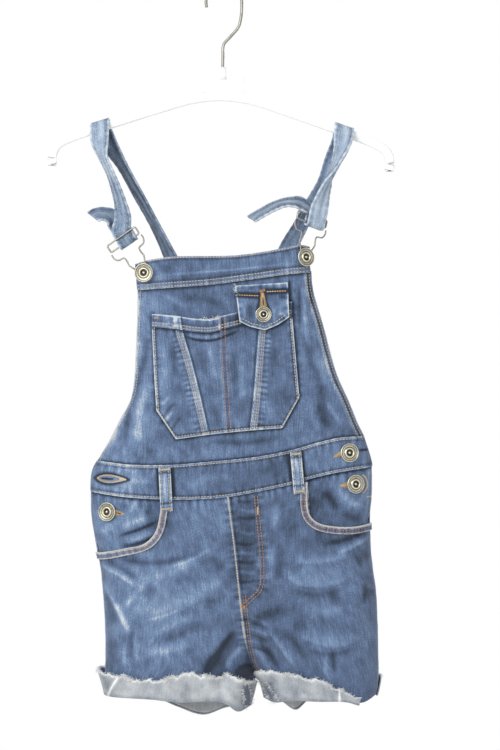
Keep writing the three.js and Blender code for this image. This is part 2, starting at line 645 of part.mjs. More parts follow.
const wireHalf = [[18.2, slideHeight / 2 + 2.2], [18.2, 10.5], [15.5, 14.6], [9.3, 16], [8.6, 21], [9, 25], [6.4, 31.5], [5.4, 36]];
const eyeRadius = 5.4;
function clipWire(name, clip) {
  const points = wireHalf.map(([a, d]) => inClip(clip, a, d));
  for (let k = 1; k < 8; k += 1) {
    const angle = (Math.PI * k) / 8;
    points.push(inClip(clip, eyeRadius * Math.cos(angle), clipReach - 0.4 + eyeRadius * Math.sin(angle)));
  }
  wireHalf.slice().reverse().forEach(([a, d]) => points.push(inClip(clip, -a, d)));
  const path = new THREE.CatmullRomCurve3(points, false, 'centripetal');
  const section = new THREE.Shape().absarc(0, 0, wireRadius, 0, 2 * Math.PI);
  add(name, new THREE.ExtrudeGeometry(section, {
    steps: 40, curveSegments: 3, bevelEnabled: false, extrudePath: path,
  }), steelWire);
}

function clipSlide(name, clip) {
  const [w, h] = [clipHalfWidth + 1.8, slideHeight / 2 + 0.9];
  const frame = new THREE.Shape().moveTo(-w, -h).lineTo(w, -h).lineTo(w, h).lineTo(-w, h).closePath();
  const [iw, ih] = [clipHalfWidth - 1.2, slideHeight / 2 - 0.9];
  frame.holes.push(new THREE.Path().moveTo(-iw, -ih).lineTo(-iw, ih).lineTo(iw, ih).lineTo(iw, -ih).closePath());
  const geometry = new THREE.ExtrudeGeometry(frame, { depth: slideThickness, bevelEnabled: false });
  geometry.translate(0, 0, -slideThickness / 2);
  const turned = new THREE.Matrix4().makeBasis(clip.across, clip.down, clip.across.clone().cross(clip.down));
  geometry.applyMatrix4(turned.setPosition(clip.slide));
  add(name, geometry, steelWire);
}
for (const side of ['left', 'right']) {
  clipWire(`clip_wire_${side}`, clips[side]);
  clipSlide(`clip_slide_${side}`, clips[side]);
}

// Hanger: moulded arms with a label block and neck, and a wire hook set in the neck
const hanger = new THREE.Group();
hanger.rotation.y = hangerTilt;
dungarees.add(hanger);
const armHalf = [[30, -115.5], [60, -124.5], [125, -146.5], [154, -157], [164.5, -163], [169.5, -171], [170, -185]];
const armLine = new THREE.CatmullRomCurve3([
  ...armHalf.slice().reverse().map(([x, z]) => new THREE.Vector3(-x, 0, z)),
  new THREE.Vector3(0, 0, -112),
  ...armHalf.map(([x, z]) => new THREE.Vector3(x, 0, z)),
], false, 'centripetal');
const armHeight = 9.5;
const armThickness = 7;
const armSection = new THREE.Shape().absellipse(0, 0, armThickness / 2, armHeight / 2, 0, 2 * Math.PI);
const arms = solidOf(new THREE.ExtrudeGeometry(armSection, {
  steps: 44, curveSegments: 5, bevelEnabled: false, extrudePath: armLine,
}));
function block(width, height, depth, x, z) {
  return solidOf(new THREE.BoxGeometry(width, depth, height).translate(x, 0, z));
}
const neckTop = -83;
const neckDepth = 12;
const neck = new THREE.CylinderGeometry(3.8, 5.5, neckDepth, 16).rotateX(Math.PI / 2).translate(0, 0, neckTop - neckDepth / 2);
const boreDepth = 10;
const bore = new THREE.CylinderGeometry(hookWireRadius + seamGap, hookWireRadius + seamGap, 2 * boreDepth, 12)
  .rotateX(Math.PI / 2).translate(0, 0, neckTop);
const moulding = arms
  .add(block(44, 15, 4, 0, -101))
  .add(block(17, 8, 6, 0, -93))
  .add(solidOf(neck))
  .subtract(solidOf(bore));
add('hanger_body', geometryOf(moulding), whitePlastic, hanger);

const crownZ = hookWireRadius - hookRadius;
const hookPoints = [[0, neckTop - boreDepth + seamGap], [0, -72], [0.5, -60], [7, -52], [15, -42], [17.5, -32], [hookRadius, crownZ]];
for (let k = 1; k <= 10; k += 1) {
  const angle = (Math.PI * k) / 10;
  hookPoints.push([hookRadius * Math.cos(angle), crownZ + hookRadius * Math.sin(angle)]);
}
hookPoints.push([-17.4, crownZ - 6]);
const hookPath = new THREE.CatmullRomCurve3(hookPoints.map(([x, z]) => new THREE.Vector3(x, 0, z)), false, 'centripetal');
const hookSection = new THREE.Shape().absarc(0, 0, hookWireRadius, 0, 2 * Math.PI);
add('hanger_hook', new THREE.ExtrudeGeometry(hookSection, {
  steps: 36, curveSegments: 4, bevelEnabled: false, extrudePath: hookPath,
}), steelWire, hanger);

// Straps: folded strips from the back bib, over the hanger's arm, round the clip's slide and out to a free end
function armTop(x) {
  let best = null;
  for (let k = 0; k <= 2000; k += 1) {
    const p = armLine.getPoint(k / 2000).applyAxisAngle(new THREE.Vector3(0, 1, 0), hangerTilt);
    if (!best || Math.abs(p.x - x) < Math.abs(best.x - x)) best = p;
  }
  const overArm = armHeight / 2 / Math.cos(radians(19)) + seamGap + strapThickness / 2;
  return { z: best.z + overArm, middle: best.z };
}
const strapColumns = ['x', 'z', 'y', 'lean', 'turn'];
const strapRow = (row) => {
  const r = Object.fromEntries(row.map((v, k) => [strapColumns[k], v]));
  return { point: new THREE.Vector3(r.x, r.y, r.z), across: acrossOf(r.lean, r.turn) };
};
const roundArm = armThickness / 2 + seamGap + strapThickness / 2 + 0.6;
function overArm(x, slope) {
  const { z, middle } = armTop(x);
  const drop = z - middle;
  return [150, 115, 90, 65, 30].map((angle) => {
    const a = radians(angle);
    return strapRow([x, middle + drop * Math.sin(a), -roundArm * Math.cos(a), slope, 0]);
  });
}
function roundSlide(clip, shift, behindTopBar) {
  const turnR = 1.4 * (slideThickness / 2) + 3 * seamGap + strapThickness / 2;
  const lowBar = slideHeight / 2;
  const comingDown = behindTopBar ? [[-9, -turnR], [-4, -turnR], [-0.6, -0.9], [1.6, 1.7]]
    : [[-10, turnR], [-4, turnR], [1, turnR]];
  const goingUp = behindTopBar ? [[0, -turnR - 1.2], [-4, -2 * turnR + 0.2], [-9, -2 * turnR]]
    : [[0, -turnR], [-6, -turnR]];
  const rows = comingDown.map(([down, out]) => inClip(clip, shift, down, out));
  for (const angle of [15, 50, 90, 135, 180]) {
    const a = radians(angle);
    rows.push(inClip(clip, shift, lowBar + turnR * Math.sin(a), turnR * Math.cos(a)));
  }
  goingUp.forEach(([down, out]) => rows.push(inClip(clip, shift, down, out)));
  return rows;
}
function strap(name, rows) {
  const points = new THREE.CatmullRomCurve3(rows.map((r) => r.point), false, 'centripetal');
  const directions = new THREE.CatmullRomCurve3(rows.map((r) => r.across), false, 'catmullrom');
  const perRow = 2;
  const steps = (rows.length - 1) * perRow;
  const at = (u, v) => {
    const t = v;
    const tangent = points.getTangent(t);
    const across = directions.getPoint(t);
    across.addScaledVector(tangent, -across.dot(tangent)).normalize();
    const point = points.getPoint(t).addScaledVector(across, (u - 0.5) * strapWidth);
    return { point, normal: tangent.clone().cross(across).normalize() };
  };
  add(name, wallGeometry(at, 1, steps, strapThickness), strapDenim);
}
function sewnOn(x, z, lean) {
  const { point, normal } = surface(back, x, z);
  point.addScaledVector(normal, clothThickness / 2 + seamGap + strapThickness / 2 + 0.3);
  return strapRow([point.x, point.z, point.y, lean, 0]);
}
const slideRows = (clip, shift, flip, behindTopBar) => roundSlide(clip, shift, behindTopBar)
  .map((point) => ({ point, across: clip.across.clone().multiplyScalar(flip) }));
strap('strap_left', [
  sewnOn(-10, -384, 24),
  sewnOn(-16, -370, 24),
  ...[[-22, -352, 19.5, 25, 8], [-54.5, -274, 18, 26, 52], [-70.5, -241, 17, 26, 64], [-87.5, -210, 15, 26, 62],
    [-104, -180, 12, 24, 48], [-118, -157, 7, 20, 20]].map(strapRow),
  ...overArm(-125.5, 17.5),
  ...[[-125, -157, -9.5, 12, 25], [-121.5, -174, -9.5, 14, 64], [-114.5, -190, -10.5, 15, 68], [-108.5, -206, -11, 18, 62],
    [-103.8, -222, -11, 22, 52], [-101.8, -236, -10.5, 28, 30]].map(strapRow),
  ...slideRows(clips.left, 3, 1, true),
  ...[[-108, -240, 0, 42, -14], [-112.5, -234.5, 0, 60, -34], [-119, -231.5, -2.5, 82, -46], [-126, -231.5, -6, 98, -50],
    [-131.5, -234, -9.5, 110, -50]].map(strapRow),
]);
strap('strap_right', [
  sewnOn(14, -384, -24),
  sewnOn(20, -370, -24),
  ...[[26, -352, 19.5, -27, 5], [65, -264, 18, -29, 30], [76.5, -243, 17, -29, 44], [88, -220, 15, -28, 54],
    [101, -197, 12, -26, 54], [110, -176, 10.5, -24, 34], [117.5, -160, 9.5, -21, 8]].map(strapRow),
  ...overArm(121, -19.7),
  ...[[119, -160, -11.5, -18, 34], [115, -172, -11, -18, 58], [109.3, -187, -9.5, -19, 80], [104.4, -200, -9, -19, 110],
    [99.5, -213, -9, -19, 128]].map(strapRow),
  ...slideRows(clips.right, 4, -1, false),
  ...[[80, -221.5, 3, 205, 44], [71.5, -219, 0, 235, 56], [61, -219.5, -3, 262, 62], [50, -223.5, -6, 282, 62],
    [39, -229.5, -9, 294, 62], [27.5, -236.5, -12, 300, 62]].map(strapRow),
]);

// Buttons: a dished ring with a centre stud, on a shank that rises from the cloth
function button(name, x, z, lift, radius, shank, where = null) {
  const s = radius / buttonRadius;
  const profile = [[0, 0], [3.6, 0], [3.6, shank], [8.6, shank], [9.5, shank + 1], [8.8, shank + 2.4],
    [6.6, shank + 2.9], [4.6, shank + 1.7], [3, shank + 1.5], [2.2, shank + 2.6], [0, shank + 2.9]];
  const geometry = new THREE.LatheGeometry(profile.map(([r, h]) => new THREE.Vector2(r * s, h)), 14);
  const place = where || surface(front, x, z);
  const turned = new THREE.Quaternion().setFromUnitVectors(new THREE.Vector3(0, 1, 0), place.normal);
  const mesh = add(name, geometry, agedBrass);
  mesh.quaternion.copy(turned);
  mesh.position.copy(place.point.clone().addScaledVector(place.normal, lift));
}
const onBand = bandThickness / 2 + seamGap;
button('button_bib_left', 0, 0, 0, buttonRadius, shankLength, { point: clips.left.seat, normal: clips.left.facing });
button('button_bib_right', 0, 0, 0, buttonRadius, shankLength, { point: clips.right.seat, normal: clips.right.facing });
button('button_flap', 39.5, -333, flapRise + clothThickness / 2 + 2 * seamGap, flapButtonRadius, 0.5);
button('button_waist_right', 124.5, -471, onBand, buttonRadius, 0.5);
const onSidePiece = clothThickness / 2 - layerStep - seamGap + 0.4;
button('button_side_right', 131.5, -502, onSidePiece, buttonRadius, 0.5);
button('button_side_left', -116.7, -529.6, onSidePiece, buttonRadius, 0.5);

export default dungarees;
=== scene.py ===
# Kids' denim dungaree shorts, hung by their straps on a white plastic hanger with a wire hook.
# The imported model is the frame. Shapes are worked out in millimetres, and placed in metres.
import math

import bmesh
import bpy
import numpy as np
from mathutils import Matrix, Vector


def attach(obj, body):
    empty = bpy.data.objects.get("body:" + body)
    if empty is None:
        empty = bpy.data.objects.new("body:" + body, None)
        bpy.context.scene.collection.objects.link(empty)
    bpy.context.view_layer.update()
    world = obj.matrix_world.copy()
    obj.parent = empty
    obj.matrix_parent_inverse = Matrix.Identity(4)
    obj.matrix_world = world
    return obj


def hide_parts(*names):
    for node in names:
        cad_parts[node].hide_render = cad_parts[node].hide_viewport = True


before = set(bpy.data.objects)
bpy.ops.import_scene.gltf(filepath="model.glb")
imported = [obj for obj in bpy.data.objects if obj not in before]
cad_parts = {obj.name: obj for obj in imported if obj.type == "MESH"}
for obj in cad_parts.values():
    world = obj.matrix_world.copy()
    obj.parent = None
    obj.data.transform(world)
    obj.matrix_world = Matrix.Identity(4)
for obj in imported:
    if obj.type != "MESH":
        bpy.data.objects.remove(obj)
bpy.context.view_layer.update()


# Hanger: a child's clothes hanger, injection moulded in one piece of white polystyrene.
# Its arms have a rounded bar section, with a label block and a tapered neck in the middle.
mm = 0.001
hanger_tilt = math.radians(1)
neck_top = -83.0
arm_height = 9.5
arm_thickness = 7.0


def linear(code):
    """An sRGB hex colour as linear light."""
    channels = [int(code[k:k + 2], 16) / 255 for k in (1, 3, 5)]
    return [c / 12.92 if c <= 0.04045 else ((c + 0.055) / 1.055) ** 2.4 for c in channels] + [1.0]


def add_node(tree, kind, settings, links=None):
    """Adds a node, sets its sockets or properties by name, and links its inputs."""
    node = tree.nodes.new(kind)
    for key, value in settings.items():
        if isinstance(key, int) or key in node.inputs:
            node.inputs[key].default_value = value
        else:
            setattr(node, key, value)
    for key, socket in (links or {}).items():
        tree.links.new(socket, node.inputs[key])
    return node


def new_material(name, **sockets):
    """A material with a Principled shader whose own sockets are set by name."""
    material = bpy.data.materials.new(name)
    material.use_nodes = True
    shader = material.node_tree.nodes["Principled BSDF"]
    for key, value in sockets.items():
        shader.inputs[key.replace("_", " ")].default_value = value
    return material, material.node_tree, shader


def place(name, mesh, *materials):
    """Puts a finished mesh in the scene as a piece that rides on the one body."""
    piece = bpy.data.objects.new(name, mesh)
    bpy.context.collection.objects.link(piece)
    for material in materials:
        mesh.materials.append(material)
    mesh.shade_smooth()
    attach(piece, "root")
    return piece


def finished(bm, name):
    mesh = bpy.data.meshes.new(name)
    bm.to_mesh(mesh)
    bm.free()
    return mesh


def catmull(points, centripetal=True):
    """A spline through the points, as a function of a share of the way by point number."""
    given = np.asarray(points, float)
    knots = np.vstack([2 * given[0] - given[1], given, 2 * given[-1] - given[-2]])

    def at(share):
        place_on = np.clip(np.asarray(share, float), 0, 1) * (len(given) - 1)
        k = np.minimum(place_on.astype(int), len(given) - 2)
        t = (place_on - k)[..., None]
        a, b, c, d = (knots[k + n] for n in range(4))
        if centripetal:
            before, span, after = (np.linalg.norm(q - p, axis=-1, keepdims=True) ** 0.5
                                   for p, q in ((a, b), (b, c), (c, d)))
            m = ((b - a) / before - (c - a) / (before + span) + (c - b) / span) * span
            n = ((c - b) / span - (d - b) / (span + after) + (d - c) / after) * span
        else:
            m, n = (c - a) / 2, (d - b) / 2
        return b + m * t + (3 * (c - b) - 2 * m - n) * t ** 2 + (2 * (b - c) + m + n) * t ** 3

    return at


def sweep(bm, path, section, up, closed_path=False):
    """A section drawn along a path: a grid rolled into a tube, welded, and its ends filled."""
    path, section = np.asarray(path, float), np.asarray(section, float)
    rows = len(path) if closed_path else len(path) - 1
    grid = bmesh.ops.create_grid(bm, x_segments=len(section), y_segments=rows, size=0.5)
    if closed_path:
        tangent = np.roll(path, -1, 0) - np.roll(path, 1, 0)
        path, tangent = np.vstack([path, path[:1]]), np.vstack([tangent, tangent[:1]])
    else:
        tangent = np.gradient(path, axis=0)
    tangent /= np.linalg.norm(tangent, axis=1, keepdims=True)
    side = np.cross(tangent, up)
    side /= np.linalg.norm(side, axis=1, keepdims=True)
    rise = np.cross(side, tangent)
    ring = np.vstack([section, section[:1]])
    for vert in grid["verts"]:
        i = round((vert.co.x + 0.5) * len(section))
        j = round((vert.co.y + 0.5) * rows)
        vert.co = Vector((path[j] + side[j] * ring[i][0] + rise[j] * ring[i][1]) * mm)
    bmesh.ops.remove_doubles(bm, verts=grid["verts"], dist=1e-7)
    rims = [e for e in bm.edges if e.is_boundary]
    if rims:
        bmesh.ops.holes_fill(bm, edges=rims, sides=0)
    bmesh.ops.recalc_face_normals(bm, faces=bm.faces[:])


def oval(width, height, sides=20, power=1.0):
    """Points round an oval section, squarer as the power falls."""
    angles = 2 * np.pi * np.arange(sides) / sides
    c, s = np.cos(angles), np.sin(angles)
    return np.stack([width / 2 * np.sign(c) * abs(c) ** power, height / 2 * np.sign(s) * abs(s) ** power], 1)


# Polystyrene, high gloss tool, slightly dulled by handling: white with a soft highlight and faint sink marks.
white_plastic, tree, shader = new_material("moulded_white_polystyrene", Roughness=0.32, IOR=1.59)
where = add_node(tree, "ShaderNodeTexCoord", {})
sink = add_node(tree, "ShaderNodeTexNoise", {"Scale": 45.0, "Detail": 2.0}, {"Vector": where.outputs["Object"]})
scuff = add_node(tree, "ShaderNodeTexNoise", {"Scale": 900.0, "Detail": 3.0}, {"Vector": where.outputs["Object"]})
shade = add_node(tree, "ShaderNodeMix", {"data_type": "RGBA", 6: linear("#f7f7f6"), 7: linear("#fdfdfd")},
                 {0: sink.outputs["Fac"]})
dull = add_node(tree, "ShaderNodeMapRange", {"To Min": 0.26, "To Max": 0.42}, {"Value": scuff.outputs["Fac"]})
relief = add_node(tree, "ShaderNodeBump", {"Strength": 0.12, "Distance": 0.0004}, {"Height": sink.outputs["Fac"]})
tree.links.new(shade.outputs[2], shader.inputs["Base Color"])
tree.links.new(dull.outputs[0], shader.inputs["Roughness"])
tree.links.new(relief.outputs[0], shader.inputs["Normal"])

tilted = Matrix.Rotation(hanger_tilt, 4, "Y")
arm_half = [(30, -115.5), (60, -124.5), (125, -146.5), (154, -157), (164.5, -163), (169.5, -171), (170, -185)]
arm_points = [(-x, 0, z) for x, z in arm_half[::-1]] + [(0, 0, -112)] + [(x, 0, z) for x, z in arm_half]
arm_line = catmull(arm_points)
hanger = bmesh.new()
sweep(hanger, arm_line(np.linspace(0, 1, 120)), oval(arm_thickness, arm_height, 24, 0.75), (0, 0, 1))
for width, height, depth, z in ((44, 15, 4, -101), (17, 8, 6, -93)):
    block = bmesh.ops.create_cube(hanger, size=1.0, matrix=Matrix.Translation((0, 0, z * mm))
                                  @ Matrix.Diagonal((width * mm, depth * mm, height * mm, 1)))
    corners = list({e for v in block["verts"] for e in v.link_edges})
    bmesh.ops.bevel(hanger, geom=corners, offset=1.1 * mm, segments=4, profile=0.5, affect="EDGES", material=-1)
bmesh.ops.create_cone(hanger, cap_ends=True, segments=28, radius1=5.5 * mm, radius2=3.8 * mm, depth=12 * mm,
                      matrix=Matrix.Translation((0, 0, (neck_top - 6) * mm)))
bmesh.ops.transform(hanger, matrix=tilted, verts=hanger.verts[:])
hanger = place("hanger_moulding", finished(hanger, "hanger_moulding"), white_plastic)
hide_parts("hanger_body")


# Hook: bright drawn steel wire, 3 mm, bent to a swan neck and pushed into the hanger's neck.
hook_radius = 18.0
hook_wire = 1.5

# Drawn steel with a thin nickel plate: near-white metal with fine draw lines along the wire.
bright_wire, tree, shader = new_material("plated_steel_wire", Metallic=1.0, Roughness=0.28)
where = add_node(tree, "ShaderNodeTexCoord", {})
lines = add_node(tree, "ShaderNodeTexNoise", {"Scale": 1400.0, "Detail": 3.0}, {"Vector": where.outputs["Object"]})
stain = add_node(tree, "ShaderNodeTexNoise", {"Scale": 130.0, "Detail": 4.0}, {"Vector": where.outputs["Object"]})
shade = add_node(tree, "ShaderNodeMix", {"data_type": "RGBA", 6: linear("#706c63"), 7: linear("#c4c2ba")},
                 {0: stain.outputs["Fac"]})
dull = add_node(tree, "ShaderNodeMapRange", {"To Min": 0.34, "To Max": 0.55}, {"Value": lines.outputs["Fac"]})
relief = add_node(tree, "ShaderNodeBump", {"Strength": 0.1, "Distance": 0.0001}, {"Height": lines.outputs["Fac"]})
tree.links.new(shade.outputs[2], shader.inputs["Base Color"])
tree.links.new(dull.outputs[0], shader.inputs["Roughness"])
tree.links.new(relief.outputs[0], shader.inputs["Normal"])

crown_z = hook_wire - hook_radius
hook_points = [(0, -92.7), (0, -72), (0.5, -60), (7, -52), (15, -42), (17.5, -32), (hook_radius, crown_z)]
for k in range(1, 11):
    angle = math.pi * k / 10
    hook_points.append((hook_radius * math.cos(angle), crown_z + hook_radius * math.sin(angle)))
hook_points.append((-17.4, crown_z - 6))
hook_line = catmull([(x, 0, z) for x, z in hook_points])
hook = bmesh.new()
sweep(hook, hook_line(np.linspace(0, 1, 140)), oval(2 * hook_wire, 2 * hook_wire, 14), (0, 1, 0))
bmesh.ops.transform(hook, matrix=tilted, verts=hook.verts[:])
hook = place("hook_wire_bent", finished(hook, "hook_wire_bent"), bright_wire)
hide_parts("hanger_hook")


# Shorts, back panels: two pieces of mid-blue stretch denim, joined down the middle and at the sides.
# Every cloth panel is cut as a grid over the body's form, with its creases, seam puckers, fading and painted light and
# shade given in tables.
front, back = -1.0, 1.0
seam_gap = 0.3
layer_step = 2.1
cloth_thickness = 1.4
band_thickness = 2.4
crotch_z, crotch_rise, inner_round = -694.0, 56.0, 24.0
level_columns = ["left", "right", "left_edge", "right_edge", "front", "back", "round"]
level_rows = [
    (-262, -90, 85, 12, 1.5, 16, 15, 26),
    (-308, -86, 89, 11, 3, 18, 15, 26),
    (-340, -86.5, 98, 10, 5, 20, 16, 26),
    (-372, -87.7, 106.5, 9, 5.5, 21, 17, 26),
    (-396, -89.2, 113.8, 8, 5.5, 22, 18, 27),
    (-418, -93.5, 124, 7, 4, 23, 19, 28),
    (-440, -104.5, 133, 5.5, 1.5, 23, 20, 30),
    (-455, -112, 139.8, 3.5, 0, 23, 21, 32),
    (-479.5, -127, 147.3, 0, 0, 24, 22, 34),
    (-490, -132, 148.2, 0, 0, 25, 23, 34),
    (-512, -133.6, 148.2, 0, 0, 26, 25, 34),
    (-534, -133.2, 146.5, 0, 0, 28, 28, 34),
    (-566, -128.2, 147.1, 0, 0, 30, 31, 34),
    (-588, -124, 149.3, 0, 0, 32, 33, 33),
    (-610, -121.7, 152.4, 0, 0, 33, 34, 32),
    (-642, -119.6, 154, 0, 0, 33, 34, 32),
    (-675, -119.1, 154.7, 0, 0, 32, 33, 32),
    (-696, -119.6, 155, 0, 0, 31, 31, 32),
    (-712, -118.6, 153, 0, 0, 29, 30, 32),
    (-736, -115, 146, 0, 0, 27, 28, 32),
]
inner_rows = [(-514, 4, 4), (-573, 11.6, 11.6), (-605, 15, 15), (-657, 21.4, 21.4), (-684, 27.5, 27.5),
              (crotch_z, 33, 33), (-700, 30, 38.5), (-712, 27.5, 41.5), (-736, 22, 46)]
# Large folds, from x1, z1 to x2, z2, with their width and height
folds = {
    front: [
        (24, -640, -6, -704, 10, -11), (2, -655, -14, -700, 9, 4), (38, -640, 100, -704, 10, 3.5),
        (44, -664, 80, -716, 11, -4), (-125, -570, -60, -606, 9, 3), (-122, -596, -84, -640, 8, -3.5),
        (-116, -585, -88, -660, 7, 3), (-100, -560, -40, -578, 8, -2.5), (-90, -630, -20, -590, 10, 2),
        (-70, -660, 0, -622, 12, -2), (146, -556, 84, -572, 10, -2.5), (148, -560, 90, -584, 9, 2.5),
        (60, -600, 130, -606, 12, -2), (92, -640, 96, -700, 9, -2.5), (112, -356, 122, -444, 10, 3),
        (98, -360, 108, -440, 8, -3), (-78, -330, -84, -410, 10, -2.5), (-66, -424, -98, -474, 15, 2),
        (-40, -464, 90, -457, 9, -1.5),
    ],
    back: [
        (20, -640, -16, -706, 11, -8), (42, -640, 84, -706, 11, -7), (-120, -580, -50, -612, 10, 3),
        (144, -570, 78, -606, 10, 3), (-70, -650, -10, -616, 12, -2.5), (60, -618, 130, -650, 12, -2.5),
        (-40, -540, -46, -700, 14, 2), (80, -540, 84, -700, 14, 2),
    ],
}


def smooth_table(rows):
    """Rows of a table as a function of their first column, smooth between them."""
    table = np.asarray(rows, float)
    down, values = -table[:, 0], table[:, 1:]
    slope = np.gradient(values, axis=0)
    slope[1:-1] = (values[2:] - values[:-2]) / (down[2:] - down[:-2])[:, None]
    slope[0] = (values[1] - values[0]) / (down[1] - down[0])
    slope[-1] = (values[-1] - values[-2]) / (down[-1] - down[-2])

    def at(z):
        s = np.clip(-np.asarray(z, float), down[0], down[-1])
        i = np.clip(np.searchsorted(down, s, side="right") - 1, 0, len(down) - 2)
        span = (down[i + 1] - down[i])[..., None]
        t = (s - down[i])[..., None] / span
        p, q, m, n = values[i], values[i + 1], slope[i] * span, slope[i + 1] * span
        return p + m * t + (3 * (q - p) - 2 * m - n) * t ** 2 + (2 * (p - q) + m + n) * t ** 3

    return at


level_table, inner_at = smooth_table(level_rows), smooth_table(inner_rows)


def level_at(z, column):
    return level_table(z)[..., level_columns.index(column)]


def soft_step(t):
    t = np.clip(t, 0, 1)
    return t * t * (3 - 2 * t)


def fullness(face, x, z):
    """How far the cloth stands from the plane of the side seams."""
    level = level_table(z)
    left, right, left_edge, right_edge, full_front, full_back, width = (level[..., k] for k in range(7))
    full = full_front if face == front else full_back
    if face == back:
        left_edge = right_edge = 0.0
    on_left = np.sqrt(1 - (1 - np.clip((x - left) / width, 0, 1)) ** 2)
    on_right = np.sqrt(1 - (1 - np.clip((right - x) / width, 0, 1)) ** 2)
    depth = full - (full - left_edge) * (1 - on_left) - (full - right_edge) * (1 - on_right)
    inner = inner_at(z)
    from_inner = np.where(x < inner.mean(axis=-1), inner[..., 0] - x, x - inner[..., 1])
    turn_under = soft_step((crotch_z + crotch_rise - z) / crotch_rise)
    near_inner = 1 - (1 - np.clip(from_inner / inner_round, 0, 1)) ** 2
    depth = depth * (1 - turn_under * (1 - near_inner))
    height = 0.0
    for x1, z1, x2, z2, fold_width, fold_height in folds[face]:
        dx, dz = x2 - x1, z2 - z1
        along = ((x - x1) * dx + (z - z1) * dz) / (dx * dx + dz * dz)
        off = ((x - x1) * dz - (z - z1) * dx) / math.hypot(dx, dz)
        fade = soft_step((along + 0.25) * 2.5) * soft_step((1.25 - along) * 2.5)
        height = height + fold_height * fade * np.exp(-((off / fold_width) ** 2))
    open_leg = np.where(z < crotch_z + crotch_rise, near_inner, 1)
    return depth + height * np.minimum(on_left, on_right) * open_leg


def surface(face, x, z):
    """Points of the body's middle surface, and the directions out of the cloth there."""
    x, z = np.broadcast_arrays(np.asarray(x, float), np.asarray(z, float))
    step = 0.05
    across = (fullness(face, x + step, z) - fullness(face, x - step, z)) / (2 * step)
    down = (fullness(face, x, z + step) - fullness(face, x, z - step)) / (2 * step)
    point = np.stack([x, face * (seam_gap / 2 + fullness(face, x, z)), z], -1)
    normal = np.stack([-across, np.full_like(across, face), -down], -1)
    return point, normal / np.linalg.norm(normal, axis=-1, keepdims=True)


def smooth(points):
    """A curve of the front plane, even along its length, from 0 to 1."""
    spline = catmull(points)
    fine = spline(np.linspace(0, 1, 600))
    travelled = np.r_[0, np.cumsum(np.linalg.norm(np.diff(fine, axis=0), axis=1))]
    return lambda t: spline(np.interp(np.clip(t, 0, 1) * travelled[-1], travelled, np.linspace(0, 1, 600)))


def straight(points):
    given = np.asarray(points, float)
    steps = np.linspace(0, 1, len(given))
    return lambda t: np.stack([np.interp(t, steps, given[:, k]) for k in (0, 1)], -1)


def joined(first, second, share=0.5):
    return lambda t: np.where(np.asarray(t)[..., None] < share, first(np.clip(t / share, 0, 1)),
                              second(np.clip((t - share) / (1 - share), 0, 1)))


def lowered(curve, drop):
    return lambda t: curve(t) - np.array([0, drop])


def stretch(curve, start, end):
    return lambda t: curve(start + (end - start) * np.asarray(t))


def on_curve(curve, x):
    shares = np.linspace(0, 1, 2001)
    return float(np.interp(x, curve(shares)[:, 0], shares))


def edge_of(side, top, bottom):
    def at(t):
        z = top + (bottom - top) * np.asarray(t)
        return np.stack([level_at(z, side), z], -1)

    return at


def inner_edge(side, top, bottom):
    """Down the middle seam to the crotch, then down the leg's inner edge."""
    def at(t):
        t = np.asarray(t)
        z = np.where(t < 0.8, top + (crotch_z - top) * t / 0.8, crotch_z + (bottom - crotch_z) * (t - 0.8) / 0.2)
        return np.stack([inner_at(z)[..., 0 if side == "left" else 1], z], -1)

    return at


def patch(top, bottom, left, right):
    """The patch of the front plane inside four curves."""
    def at(u, v):
        zero, one = np.zeros(1), np.ones(1)
        a, b = u[:, None], v[:, None]
        return ((1 - b) * top(u) + b * bottom(u) + (1 - a) * left(v) + a * right(v)
                - (1 - a) * (1 - b) * top(zero) - a * (1 - b) * top(one)
                - (1 - a) * b * bottom(zero) - a * b * bottom(one))

    return at


def line_of(curve, points=60):
    return curve(np.linspace(0, 1, points))


def beside(line, offset):
    """A line that runs beside another, to its right when it goes down."""
    tangent = np.gradient(line, axis=0)
    tangent /= np.linalg.norm(tangent, axis=1, keepdims=True)
    return line + offset * np.stack([-tangent[:, 1], tangent[:, 0]], 1)


def near(line, x, z):
    """How far each point is from a line, how far along the line that is, and whether it is to its left."""
    best, along, above = np.full(x.shape, 1e9), np.zeros(x.shape), np.zeros(x.shape, bool)
    lengths = np.r_[0, np.cumsum(np.linalg.norm(np.diff(line, axis=0), axis=1))]
    for k in range(len(line) - 1):
        (ax, az), (dx, dz) = line[k], line[k + 1] - line[k]
        t = np.clip(((x - ax) * dx + (z - az) * dz) / (dx * dx + dz * dz), 0, 1)
        off = np.hypot(x - ax - t * dx, z - az - t * dz)
        closer = off < best
        best = np.where(closer, off, best)
        along = np.where(closer, lengths[k] + t * (lengths[k + 1] - lengths[k]), along)
        above = np.where(closer, (z - az) * dx > (x - ax) * dz, above)
    return best, along, above, lengths[-1]


def seam(line, tone=0.0, width=1.0, height=0.0, pucker=0.3, reach=5.0, wave=7.0, mottle=0.3, ends=False, above=0):
    """A line sewn or worn into the cloth, or a painted line of shade beside one: how it lightens or darkens, lifts and
    puckers what is beside it. The puckers' tone (mottle) is painted light on their rises and painted shade in their
    dips, with some real wear.
    """
    return dict(line=np.asarray(line, float), tone=tone, width=width, height=height, pucker=pucker,
                reach=reach, wave=wave, mottle=mottle, ends=ends, above=above or width)


def crease(height, tone, width, *points, above=0):
    """A small fold or faded streak, soft at both ends, and wider above its line where above is given. Its tone is
    painted shade in a fold's hollow and painted light on its ridge, or real fading in a whisker.
    """
    line = line_of(smooth(points), 14) if len(points) > 2 else points
    return seam(line, tone, width, height, pucker=0, ends=True, above=above)


